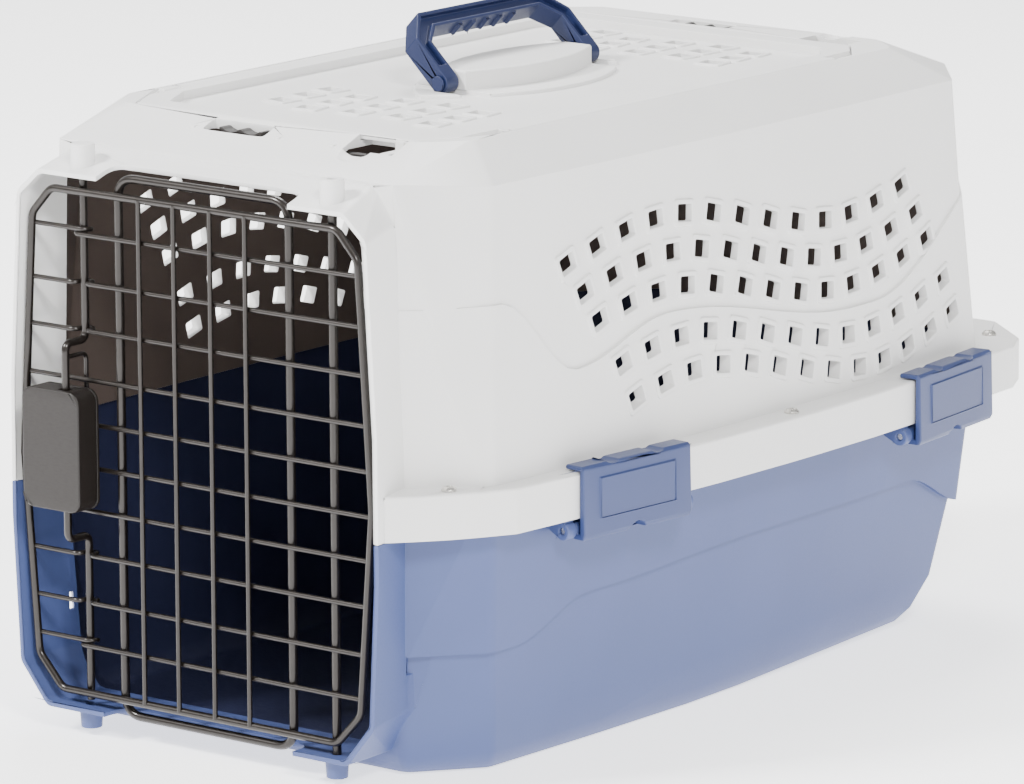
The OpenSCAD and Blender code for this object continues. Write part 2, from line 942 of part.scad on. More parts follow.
module latch_housing() {
    t = latch_wall;
    color(latch_brown)
    difference() {
        along(latch_box_y[0], latch_box_y[1] - t)
            rounded(latch_box_x, latch_box_z, 7);
        along(latch_box_y[0] + t, latch_box_y[1] + 1)
            rounded([latch_box_x[0] + t, latch_box_x[1] - t],
                [latch_box_z[0] + t, latch_box_z[1] - t], 5);
        box([latch_x - 3.2, latch_x + 3.2], [latch_leg_y - 3.2, latch_leg_y + 3.2], [120, 200]);
    }
}

// The plate that closes the latch box, with two lugs that hold the cross wires
module latch_back_plate() {
    t = latch_wall;
    color(latch_brown)
    difference() {
        union() {
            along(latch_box_y[1] - t, latch_box_y[1])
                rounded(latch_box_x, latch_box_z, 7);
            for (z = [cross_z[4], cross_z[5]])
                box([latch_box_x[0] + 4, latch_box_x[1] - 4], [latch_box_y[1] - eps, -268.5],
                    [z - 4, z + 4]);
        }
        for (z = [cross_z[4], cross_z[5]])
            translate([0, mesh_y, z])
                rotate([0, 90, 0])
                    cylinder(h = 400, r = mesh_r + 0.05, center = true);
    }
}

module latch_spring() {
    n = 9;
    pitch = (upper_end_z - lower_end_z - 0.4) / n;
    color(steel)
    translate([latch_x, latch_leg_y, lower_end_z + 0.2])
        rotate_extrude()
            for (i = [0:n - 1])
                translate([2, i * pitch])
                    polygon([[0, 0], [0.9, pitch / 2], [0, pitch], [-1, pitch], [-0.2, pitch / 2],
                        [-1, 0]]);
}

module latch_upper_rod() {
    x = latch_x;
    y = latch_y;
    yl = latch_leg_y;
    b = upper_bend_z;
    color(wire_brown) {
        wire([[x, y, upper_tip_z], [x, y, b], [x, yl, b], [x, yl, upper_end_z]], latch_r);
        wire([[x, yl, b - 7.5], [x, y, b - 7.5], [x, y, 137]], tail_r);
    }
}

module latch_lower_rod() {
    x = latch_x;
    y = latch_y;
    yl = latch_leg_y;
    b = lower_bend_z;
    color(wire_brown)
    wire([[x, y, lower_tip_z], [x, y, b], [x, yl, b], [x, yl, lower_end_z]], latch_r);
}

bottom_shell();
top_shell();
shell_screws();
shell_nuts();
clip_pins();
top_door_hinge_rod();
top_door();
handle_pins();
handle();
top_latch_front();
top_latch_rear();
door_frame_wire();
door_cross_wires();
door_upright_wires();
door_stiffener_loop();
door_hinge_rod();
latch_housing();
latch_back_plate();
latch_spring();
latch_upper_rod();
latch_lower_rod();
clip_front_right();
clip_rear_right();
clip_front_left();
clip_rear_left();
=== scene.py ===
"""Looks of a pet transport carrier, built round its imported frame.

The two moulded shells and the top door are carved from rounded forms, the wires are bent from
round rod, and the small mouldings are softened copies of their frame pieces. Shapes are worked
out in millimetres, in the frame's own axes: the front door faces -Y, +Z is up, and the ground is
at height zero.
"""

import json
import logging
import math
from dataclasses import dataclass, field
from enum import Enum

import bmesh
import bpy
from mathutils import Matrix, Vector

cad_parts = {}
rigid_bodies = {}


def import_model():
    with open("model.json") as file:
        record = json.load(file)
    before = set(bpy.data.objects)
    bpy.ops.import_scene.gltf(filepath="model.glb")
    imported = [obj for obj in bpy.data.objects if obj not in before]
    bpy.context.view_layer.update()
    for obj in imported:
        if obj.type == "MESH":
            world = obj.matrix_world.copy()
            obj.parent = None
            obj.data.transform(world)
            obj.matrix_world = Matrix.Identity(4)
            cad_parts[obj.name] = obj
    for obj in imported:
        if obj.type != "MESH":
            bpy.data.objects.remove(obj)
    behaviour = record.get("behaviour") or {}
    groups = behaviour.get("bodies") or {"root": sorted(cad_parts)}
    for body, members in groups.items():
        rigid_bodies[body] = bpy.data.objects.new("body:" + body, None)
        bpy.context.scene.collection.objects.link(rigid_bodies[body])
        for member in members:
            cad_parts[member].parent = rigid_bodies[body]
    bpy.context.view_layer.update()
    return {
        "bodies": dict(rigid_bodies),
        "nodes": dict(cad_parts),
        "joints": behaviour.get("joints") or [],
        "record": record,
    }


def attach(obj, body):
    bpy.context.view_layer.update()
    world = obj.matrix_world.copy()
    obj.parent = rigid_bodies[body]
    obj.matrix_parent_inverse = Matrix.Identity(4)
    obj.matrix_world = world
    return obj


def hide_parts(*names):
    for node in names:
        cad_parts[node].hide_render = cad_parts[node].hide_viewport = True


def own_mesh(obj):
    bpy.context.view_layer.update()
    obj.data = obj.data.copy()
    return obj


LOG = logging.getLogger("carrier")
MM = 0.001
STRAIGHT = math.radians(0.5)
GENTLE = math.radians(12)
GENTLE_RADIUS = 700.0
MERGE = 0.004

Point = tuple[float, float]
Outline = list[Point]
Span = tuple[float, float]
Colour = tuple[float, float, float]


# --- Outlines ---------------------------------------------------------------------------------


def whole(half: Outline) -> Outline:
    """Return a whole outline, counter-clockwise, from its right half."""
    return list(half) + [(-x, y) for x, y in reversed(half)]


def shifted(outline: Outline, by: Point) -> Outline:
    """Return an outline moved by a distance in each of its two directions."""
    return [(x + by[0], y + by[1]) for x, y in outline]


def inset(outline: Outline, depth: float) -> Outline:
    """Return an outline moved inwards.

    Args:
        outline: corners, counter-clockwise.
        depth: distance inwards, or outwards where it is negative.

    Returns:
        The moved corners, one for each corner given.
    """
    moved = []
    count = len(outline)
    for i in range(count):
        before = Vector(outline[i]) - Vector(outline[i - 1])
        after = Vector(outline[(i + 1) % count]) - Vector(outline[i])
        a = Vector((-before.y, before.x)).normalized()
        b = Vector((-after.y, after.x)).normalized()
        middle = (a + b).normalized()
        corner = Vector(outline[i]) + middle * (depth / middle.dot(a))
        moved.append((corner.x, corner.y))
    return moved


def mixed(a: Outline, b: Outline, share: float) -> Outline:
    """Return the outline that lies a share of the way from one outline to another."""
    return [(p[0] + (q[0] - p[0]) * share, p[1] + (q[1] - p[1]) * share) for p, q in zip(a, b)]


def soft_turn(before: Vector, here: Vector, after: Vector, radius: float, room: float,
              step: float, fewest: int) -> list[Vector]:
    """Return the points that take a line softly round a corner.

    Args:
        before: the corner before this one.
        here: the corner.
        after: the corner after this one.
        radius: radius of the turn.
        room: largest share of either side that the turn takes up.
        step: largest turn of one piece, in degrees.
        fewest: smallest number of pieces.

    Returns:
        The points, from the side before to the side after.
    """
    back, ahead = before - here, after - here
    turn = math.pi - back.angle(ahead)
    reach = min(radius * math.tan(turn / 2), room * back.length, room * ahead.length)
    start = here + back.normalized() * reach
    end = here + ahead.normalized() * reach
    pieces = max(fewest, math.ceil(math.degrees(turn) / step))
    shares = [k / pieces for k in range(pieces + 1)]
    return [start * (1 - t) ** 2 + here * 2 * t * (1 - t) + end * t**2 for t in shares]


def filleted(outline: Outline, radius: float, step: float = 9.0) -> Outline:
    """Return an outline whose corners are arcs, very gentle where it turns only a little.

    Args:
        outline: corners, counter-clockwise.
        radius: radius at a corner that turns by more than a gentle bend.
        step: largest turn of one arc segment, in degrees.

    Returns:
        The points of the rounded outline.
    """
    points: Outline = []
    count = len(outline)
    for i in range(count):
        here = Vector(outline[i])
        before, after = Vector(outline[i - 1]), Vector(outline[(i + 1) % count])
        turn = math.pi - (before - here).angle(after - here)
        if turn < STRAIGHT:
            points.append((here.x, here.y))
            continue
        arc = radius if turn > GENTLE else GENTLE_RADIUS
        points += [(p.x, p.y) for p in soft_turn(before, here, after, arc, 0.42, step, 1)]
    return points


def ring(half: Outline, radius: float, inwards: float = 0.0) -> Outline:
    """Return a whole outline from its right half, moved inwards, with rounded corners."""
    return filleted(inset(whole(half), inwards), radius)


def lens(half_length: float, half_width: float, cut: float | None = None) -> Outline:
    """Return the outline between two arcs that meet on the second axis.

    Args:
        half_length: distance from the middle to the point where the arcs meet.
        half_width: distance from the middle to the crown of each arc.
        cut: distance from the middle at which flat ends cut the arcs short.

    Returns:
        The points of the outline, counter-clockwise.
    """
    radius = (half_length**2 + half_width**2) / (2 * half_width)
    reach = math.asin((cut or half_length - 0.4) / radius)
    steps = 28
    angles = [reach * (2 * k / steps - 1) for k in range(steps + 1)]
    return whole([(half_width - radius + radius * math.cos(a), radius * math.sin(a))
                  for a in angles])


def turned_box(spot: Point, size: Point, degrees: float, radius: float) -> Outline:
    """Return a rounded rectangle's outline, turned about its middle."""
    turn = Matrix.Rotation(math.radians(degrees), 2)
    x, y = size[0] / 2, size[1] / 2
    middle = Vector(spot)
    corners = [tuple(turn @ Vector(c) + middle) for c in ((-x, -y), (x, -y), (x, y), (-x, y))]
    return filleted(corners, radius, step=30)


def eased(share: float) -> float:
    """Return a share of 0 to 1 with a soft start and end."""
    return (1 - math.cos(math.pi * share)) / 2


def along_knots(knots: Outline, place: float) -> float:
    """Return the height of a soft wave through knots at a place along it."""
    if place <= knots[0][0]:
        return knots[0][1]
    for (y0, z0), (y1, z1) in zip(knots, knots[1:]):
        if place <= y1:
            return z0 + (z1 - z0) * eased((place - y0) / (y1 - y0))
    return knots[-1][1]


# --- Forms ------------------------------------------------------------------------------------


class Facing(Enum):
    """The plane that an outline is drawn in, by the axis that it is extruded along."""

    X = "x"
    Y = "y"
    Z = "z"

    def place(self, point: Point, depth: float) -> Vector:
        """Return the point in space of an outline's point at a depth along the axis."""
        if self is Facing.X:
            return Vector((depth, point[0], point[1]))
        if self is Facing.Y:
            return Vector((point[0], depth, point[1]))
        return Vector((point[0], point[1], depth))


class Form:
    """A closed mesh in millimetres that is shaped step by step."""

    def __init__(self, mesh: bmesh.types.BMesh | None = None) -> None:
        """Start from a mesh, or from nothing."""
        self.bm = mesh or bmesh.new()

    @classmethod
    def hull(cls, slices: list[tuple[float, Outline]], facing: Facing = Facing.Z) -> "Form":
        """Return the convex form round outlines at several depths."""
        form = cls()
        for depth, outline in slices:
            for point in outline:
                form.bm.verts.new(facing.place(point, depth))
        bmesh.ops.remove_doubles(form.bm, verts=form.bm.verts, dist=0.01)
        made = bmesh.ops.convex_hull(form.bm, input=form.bm.verts)
        loose = {g for g in made["geom_interior"] + made["geom_unused"]
                 if isinstance(g, bmesh.types.BMVert)}
        bmesh.ops.delete(form.bm, geom=list(loose), context="VERTS")
        return form.tidied(0.4)

    @classmethod
    def prisms(cls, outlines: list[Outline], span: Span, facing: Facing) -> "Form":
        """Return separate outlines extruded over the same span of their axis."""
        form = cls()
        travel = facing.place((0, 0), span[1] - span[0])
        for outline in outlines:
            face = form.bm.faces.new([form.bm.verts.new(facing.place(p, span[0]))
                                      for p in outline])
            grown = bmesh.ops.extrude_face_region(form.bm, geom=[face], use_keep_orig=True)
            moved = [g for g in grown["geom"] if isinstance(g, bmesh.types.BMVert)]
            bmesh.ops.translate(form.bm, verts=moved, vec=travel)
            bmesh.ops.recalc_face_normals(form.bm, faces=form.bm.faces)
        return form

    @classmethod
    def prism(cls, outline: Outline, span: Span, facing: Facing = Facing.Z) -> "Form":
        """Return an outline extruded over a span of its axis."""
        return cls.prisms([outline], span, facing)

    @classmethod
    def box(cls, x: Span, y: Span, z: Span) -> "Form":
        """Return a box between two values on each axis."""
        return cls.prism([(x[0], y[0]), (x[1], y[0]), (x[1], y[1]), (x[0], y[1])], z)

    @classmethod
    def rod(cls, start: Vector, end: Vector, radius: float, tip: float | None = None) -> "Form":
        """Return a round bar between two points, tapered where a tip radius is given."""
        form = cls()
        made = bmesh.ops.create_cone(form.bm, cap_ends=True, segments=40, radius1=radius,
                                     radius2=radius if tip is None else tip,
                                     depth=(end - start).length)
        turn = (end - start).to_track_quat("Z", "Y").to_matrix().to_4x4()
        place = Matrix.Translation((start + end) / 2) @ turn
        bmesh.ops.transform(form.bm, verts=made["verts"], matrix=place)
        return form

    @classmethod
    def post(cls, at: Point, z: Span, radius: float, tip: float | None = None) -> "Form":
        """Return an upright round bar between two heights, tapered where a tip is given."""
        return cls.rod(Vector((*at, z[0])), Vector((*at, z[1])), radius, tip)

    @classmethod
    def ball(cls, centre: Vector, radius: float) -> "Form":
        """Return a sphere."""
        form = cls()
        bmesh.ops.create_uvsphere(form.bm, u_segments=48, v_segments=32, radius=radius,
                                  matrix=Matrix.Translation(centre))
        return form

    def tidied(self, degrees: float = 0.3) -> "Form":
        """Merge near points and dissolve edges that lie in flat ground."""
        bmesh.ops.remove_doubles(self.bm, verts=self.bm.verts, dist=MERGE)
        bmesh.ops.dissolve_limit(self.bm, angle_limit=math.radians(degrees),
                                 verts=self.bm.verts, edges=self.bm.edges)
        bmesh.ops.recalc_face_normals(self.bm, faces=self.bm.faces)
        return self

    def rounded(self, radius: float, segments: int = 3, sharper_than: float = 20.0,
                between: Span = (-1e4, 1e4), steepest: float = 90.0) -> "Form":
        """Round edges over.

        Args:
            radius: distance that the rounding takes back from each edge.
            segments: number of facets across the rounding.
            sharper_than: smallest turn of an edge that is rounded, in degrees.
            between: heights that an edge has to lie between.
            steepest: largest slope of an edge that is rounded, in degrees.

        Returns:
            This form.
        """
        chosen = []
        for edge in self.bm.edges:
            if len(edge.link_faces) != 2:
                continue
            if edge.calc_face_angle(0.0) < math.radians(sharper_than):
                continue
            low, high = sorted(v.co.z for v in edge.verts)
            run = edge.calc_length()
            slope = math.degrees(math.asin(min(1.0, (high - low) / run))) if run else 0.0
            if between[0] <= low and high <= between[1] and slope <= steepest:
                chosen.append(edge)
        bmesh.ops.bevel(self.bm, geom=chosen, offset=radius, offset_type="OFFSET",
                        segments=segments, profile=0.5, affect="EDGES", clamp_overlap=True,
                        material=-1)
        return self

    def _object(self, name: str) -> bpy.types.Object:
        """Return this form as a scene object, in millimetres."""
        mesh = bpy.data.meshes.new(name)
        self.bm.to_mesh(mesh)
        thing = bpy.data.objects.new(name, mesh)
        bpy.context.scene.collection.objects.link(thing)
        return thing

    def _combined(self, tool: "Form", operation: str) -> "Form":
        """Replace this form by its union, difference or intersection with another."""
        base = self._object("base")
        other = tool._object("tool")
        step = base.modifiers.new("step", "BOOLEAN")
        step.operation = operation
        step.solver = "EXACT"
        step.object = other
        graph = bpy.context.evaluated_depsgraph_get()
        mesh = bpy.data.meshes.new_from_object(base.evaluated_get(graph))
        self.bm.clear()
        self.bm.from_mesh(mesh)
        for thing in (base, other):
            bpy.data.objects.remove(thing)
        return self

    def plus(self, *tools: "Form") -> "Form":
        """Join other forms to this one."""
        for tool in tools:
            self._combined(tool, "UNION")
        return self

    def minus(self, *tools: "Form") -> "Form":
        """Carve other forms out of this one."""
        for tool in tools:
            self._combined(tool, "DIFFERENCE")
        return self

    def within(self, tool: "Form") -> "Form":
        """Keep what this form shares with another."""
        return self._combined(tool, "INTERSECT")

    def placed(self, matrix: Matrix) -> "Form":
        """Move this form by a matrix."""
        bmesh.ops.transform(self.bm, verts=self.bm.verts, matrix=matrix)
        return self

    def in_painted_shade(self) -> "Form":
        """Mark every face of this form for the shells' darker inside colour, which is painted shade; a
        carved form keeps the mark.
        """
        for face in self.bm.faces:
            face.material_index = 1
        return self

    def mirrored(self) -> "Form":
        """Return a copy of this form on the other side of the middle."""
        copy = Form(self.bm.copy())
        bmesh.ops.scale(copy.bm, vec=(-1, 1, 1), verts=copy.bm.verts)
        bmesh.ops.reverse_faces(copy.bm, faces=copy.bm.faces)
        return copy


# --- Finishes ---------------------------------------------------------------------------------


class Shader:
    """A material's node tree, with short calls for the nodes that the finishes share."""

    def __init__(self, name: str) -> None:
        """Start a material with one surface shader."""
        self.material = bpy.data.materials.new(name)
        self.material.use_nodes = True
        self.tree = self.material.node_tree
        self.surface = self.tree.nodes["Principled BSDF"]
        self.place = self.add("ShaderNodeTexCoord").outputs["Object"]

    def add(self, kind: str, **settings: object) -> bpy.types.Node:
        """Add a node, with its settings."""
        node = self.tree.nodes.new(kind)
        for key, value in settings.items():
            setattr(node, key, value)
        return node

    def link(self, start: bpy.types.NodeSocket, end: bpy.types.NodeSocket) -> None:
        """Join two sockets."""
        self.tree.links.new(start, end)

    def noise(self, size_mm: float, detail: float = 3.0,
              stretch: tuple[float, float, float] = (1, 1, 1)) -> bpy.types.NodeSocket:
        """Return a cloud pattern whose features are about a size across."""
        mapping = self.add("ShaderNodeMapping")
        mapping.inputs["Scale"].default_value = stretch
        self.link(self.place, mapping.inputs["Vector"])
        node = self.add("ShaderNodeTexNoise")
        node.inputs["Scale"].default_value = 1 / (size_mm * MM)
        node.inputs["Detail"].default_value = detail
        self.link(mapping.outputs["Vector"], node.inputs["Vector"])
        return node.outputs["Fac"]

    def ramp(self, source: bpy.types.NodeSocket, low: float, high: float,
             start: float = 0.35, end: float = 0.65) -> bpy.types.NodeSocket:
        """Return a pattern stretched from one value to another."""
        node = self.add("ShaderNodeMapRange")
        node.inputs["From Min"].default_value = start
        node.inputs["From Max"].default_value = end
        node.inputs["To Min"].default_value = low
        node.inputs["To Max"].default_value = high
        self.link(source, node.inputs["Value"])
        return node.outputs["Result"]

    def blend(self, share: bpy.types.NodeSocket, a: Colour, b: Colour) -> bpy.types.NodeSocket:
        """Return a colour that goes from one to another as a share goes from 0 to 1."""
        node = self.add("ShaderNodeMix", data_type="RGBA")
        self.link(share, node.inputs["Factor"])
        node.inputs["A"].default_value = (*a, 1)
        node.inputs["B"].default_value = (*b, 1)
        return node.outputs["Result"]

    def drift(self, clouds: bpy.types.NodeSocket, colour: Colour, darker: float,
              paler: float) -> None:
        """Let the base colour go from a darker to a paler shade, in clouds."""
        base = self.blend(self.ramp(clouds, 0, 1), lighter(colour, -darker),
                          lighter(colour, paler))
        self.link(base, self.surface.inputs["Base Color"])

    def roughen(self, pattern: bpy.types.NodeSocket, low: float, high: float,
                start: float = 0.35, end: float = 0.65) -> None:
        """Let the roughness follow a pattern from a low to a high value."""
        self.link(self.ramp(pattern, low, high, start, end), self.surface.inputs["Roughness"])

    def settle(self, values: dict[str, object]) -> None:
        """Set some of the surface's values."""
        for key, value in values.items():
            self.surface.inputs[key].default_value = value

    def bumps(self, *layers: tuple[bpy.types.NodeSocket, float, float]) -> None:
        """Stack bumps on the surface, each a pattern, its strength and its depth in mm."""
        under = None
        for height, strength, depth_mm in layers:
            node = self.add("ShaderNodeBump")
            node.inputs["Strength"].default_value = strength
            node.inputs["Distance"].default_value = depth_mm * MM
            self.link(height, node.inputs["Height"])
            if under is not None:
                self.link(under, node.inputs["Normal"])
            under = node.outputs["Normal"]
        self.link(under, self.surface.inputs["Normal"])


def lighter(colour: Colour, by: float) -> Colour:
    """Return a colour made lighter by a share, or darker where it is negative."""
    return tuple(min(1.0, max(0.0, c * (1 + by))) for c in colour)


@dataclass(frozen=True)
class MouldedPlastic:
    """Moulded polypropylene with a fine spark-eroded grain and faint handling scuffs."""

    name: str
    colour: Colour
    drift: float = 0.035
    roughness: float = 0.42
    grain_mm: float = 0.8
    grain_depth_mm: float = 0.05
    translucency: float = 0.0

    def material(self) -> bpy.types.Material:
        """Return the finish as a material."""
        shader = Shader(self.name)
        shader.drift(shader.noise(70, 2), self.colour, self.drift, self.drift)
        scratches = shader.noise(3.5, 5, (1, 14, 3))
        shader.roughen(scratches, self.roughness - 0.05, self.roughness + 0.09, 0.3, 0.7)
        shader.settle({"Specular IOR Level": 0.45})
        if self.translucency:
            shader.settle({"Subsurface Weight": self.translucency, "Subsurface Scale": 1.0,
                           "Subsurface Radius": (0.004, 0.004, 0.0035)})
        grain = shader.noise(self.grain_mm, 2)
        shader.bumps((shader.noise(26, 2), 0.12, 0.5), (grain, 0.5, self.grain_depth_mm))
        return shader.material


@dataclass(frozen=True)
class PowderCoat:
    """Dark bronze powder coat on steel wire: satin, with a fine orange peel."""

    name: str
    colour: Colour
    roughness: float = 0.3

    def material(self) -> bpy.types.Material:
        """Return the finish as a material."""
        shader = Shader(self.name)
        shader.drift(shader.noise(18, 3), self.colour, 0.06, 0.08)
        shader.roughen(shader.noise(6, 3), self.roughness - 0.04, self.roughness + 0.06)
        shader.settle({"Metallic": 0.55, "Coat Weight": 0.5, "Coat Roughness": 0.18})
        shader.bumps((shader.noise(0.9, 2), 0.15, 0.02))
        return shader.material


@dataclass(frozen=True)
class PlatedSteel:
    """Bright zinc-plated steel with fine turning marks."""

    name: str
    colour: Colour
    roughness: float = 0.28

    def material(self) -> bpy.types.Material:
        """Return the finish as a material."""
        shader = Shader(self.name)
        shader.drift(shader.noise(3, 4), self.colour, 0.1, 0.05)
        shader.roughen(shader.noise(1.2, 4), self.roughness - 0.08, self.roughness + 0.14)
        shader.settle({"Metallic": 1.0})
        shader.bumps((shader.noise(0.5, 3, (1, 1, 6)), 0.25, 0.02))
        return shader.material


FINISHES = {
    "shell_white": MouldedPlastic("shell_white", (0.80, 0.795, 0.785), 0.015, 0.44,
                                  translucency=0.12),
    "shell_blue": MouldedPlastic("shell_blue", (0.062, 0.088, 0.225), 0.03, 0.44),
    "clip_blue": MouldedPlastic("clip_blue", (0.032, 0.05, 0.15), 0.03, 0.36, 0.7, 0.03),
    "handle_blue": MouldedPlastic("handle_blue", (0.009, 0.017, 0.068), 0.04, 0.4, 0.7, 0.03),
    "latch_brown": MouldedPlastic("latch_brown", (0.009, 0.0062, 0.0048), 0.06, 0.46, 0.7, 0.04),
    "wire_bronze": PowderCoat("wire_bronze", (0.014, 0.01, 0.0078), 0.36),
    "steel": PlatedSteel("steel", (0.72, 0.70, 0.66)),
}
# Darker copies of the shell plastics for the faces inside the shells: painted shade, since the inside
# is the same plastic lying in shadow.
PAINTED_SHADE_INSIDES = {
    "shell_white": MouldedPlastic("shell_white_painted_shade_inside", (0.12, 0.092, 0.078), 0.03, 0.5),
    "shell_blue": MouldedPlastic("shell_blue_painted_shade_inside", (0.016, 0.02, 0.055), 0.03, 0.5),
}


# --- Workshop ---------------------------------------------------------------------------------


@dataclass
class Run:
    """One round wire's centre line and radius, in millimetres."""

    points: list[Vector]
    radius: float
    closed: bool = False


class Workshop:
    """Turns forms and bent wires into finished pieces that ride on the frame's bodies."""

    def __init__(self, frame: dict) -> None:
        """Keep the loaded frame and make every finish once."""
        self.frame = frame
        self.materials = {slot: finish.material() for slot, finish in FINISHES.items()}
        self.painted_shade_insides = {slot: finish.material() for slot, finish in PAINTED_SHADE_INSIDES.items()}
        self.body_of = {node: body for body, nodes in
                        frame["record"]["behaviour"]["bodies"].items() for node in nodes}
        self.slot_of = {part["node"]: part["material_slot"]
                        for part in frame["record"]["subparts"]}

    def piece(self, form: Form, node: str, edge: float = 0.5) -> None:
        """Finish a form as the visible piece of a frame node.

        Args:
            form: the shape, in millimetres.
            node: the frame node that it stands for.
            edge: width of the softening on its sharp edges, in millimetres.
        """
        bmesh.ops.triangulate(form.bm, faces=form.bm.faces)
        bmesh.ops.scale(form.bm, vec=(MM, MM, MM), verts=form.bm.verts)
        mesh = bpy.data.meshes.new(node + "_shape")
        form.bm.to_mesh(mesh)
        form.bm.free()
        thing = self.shown(mesh, node)
        soft = thing.modifiers.new("soft_edges", "BEVEL")
        soft.width = edge * MM
        soft.segments = 2
        soft.limit_method = "ANGLE"
        soft.angle_limit = math.radians(38)
        soft.use_clamp_overlap = False
        soft.harden_normals = False
        even = thing.modifiers.new("even_shading", "WEIGHTED_NORMAL")
        even.keep_sharp = True
        even.weight = 90
        self.dress(thing, node)

    def shown(self, mesh: bpy.types.Mesh, node: str) -> bpy.types.Object:
        """Return a smooth-shaded object of a mesh, named for the node it stands for."""
        mesh.shade_smooth()
        thing = bpy.data.objects.new(node + "_shape", mesh)
        bpy.context.scene.collection.objects.link(thing)
        return thing

    def dress(self, thing: bpy.types.Object, node: str) -> bpy.types.Object:
        """Give a piece its node's finish and body, and let it stand for that node."""
        slot = self.slot_of[node]
        thing.data.materials.append(self.materials[slot])
        # The inside faces take the darker copy of the plastic, which is painted shade.
        if slot in PAINTED_SHADE_INSIDES:
            thing.data.materials.append(self.painted_shade_insides[slot])
        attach(thing, self.body_of[node])
        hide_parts(node)
        LOG.info("%s: %d faces", thing.name, len(thing.data.polygons))
        return thing

    def copy(self, node: str) -> Form:
        """Return a copy of a frame node's mesh, merged, and simplified where that is safe."""
        form = Form()
        form.bm.from_mesh(self.frame["nodes"][node].data)
        bmesh.ops.scale(form.bm, vec=(1 / MM, 1 / MM, 1 / MM), verts=form.bm.verts)
        bmesh.ops.remove_doubles(form.bm, verts=form.bm.verts, dist=MERGE)
        simple = Form(form.bm.copy()).tidied()
        same = abs(simple.bm.calc_volume() / form.bm.calc_volume() - 1) < 1e-4
        return simple if same else form

    def wire(self, node: str, runs: list[Run]) -> bpy.types.Object:
        """Finish bent round wires as the visible piece of a frame node.

        Args:
            node: the frame node that they stand for.
            runs: the wires' centre lines.

        Returns:
            The finished object.
        """
        curve = bpy.data.curves.new(node + "_line", "CURVE")
        curve.dimensions = "3D"
        curve.bevel_depth = MM
        curve.bevel_resolution = 4
        curve.use_fill_caps = True
        for run in runs:
            spline = curve.splines.new("POLY")
            spline.points.add(len(run.points) - 1)
            for spot, point in zip(spline.points, run.points):
                spot.co = (*(point * MM), 1)
                spot.radius = run.radius
            spline.use_cyclic_u = run.closed
        line = bpy.data.objects.new(node + "_line", curve)
        bpy.context.scene.collection.objects.link(line)
        graph = bpy.context.evaluated_depsgraph_get()
        mesh = bpy.data.meshes.new_from_object(line.evaluated_get(graph))
        bpy.data.objects.remove(line)
        form = Form()
        form.bm.from_mesh(mesh)
        bmesh.ops.remove_doubles(form.bm, verts=form.bm.verts, dist=1e-6)
        bmesh.ops.recalc_face_normals(form.bm, faces=form.bm.faces)
        mesh.clear_geometry()
        form.bm.to_mesh(mesh)
        form.bm.free()
        thing = self.shown(mesh, node)
        even = thing.modifiers.new("even_shading", "WEIGHTED_NORMAL")
        even.keep_sharp = True
        return self.dress(thing, node)


def bent(points: list[Vector], radius: float, closed: bool = False) -> list[Vector]:
    """Return a wire's centre line, with an arc at each of its corners.

    Args:
        points: corners, in millimetres.
        radius: radius of the bends.
        closed: whether the wire joins up with itself.

    Returns:
        The points of the bent line.
    """
    line: list[Vector] = []
    count = len(points)
    for i, here in enumerate(points):
        before, after = points[i - 1], points[(i + 1) % count]
        end = not closed and i in (0, count - 1)
        if end or math.pi - (before - here).angle(after - here) < 2 * STRAIGHT:
            line.append(here)
        else:
            line += soft_turn(before, here, after, radius, 0.49, 11, 2)
    return line


# --- The shells' shared lines -----------------------------------------------------------------


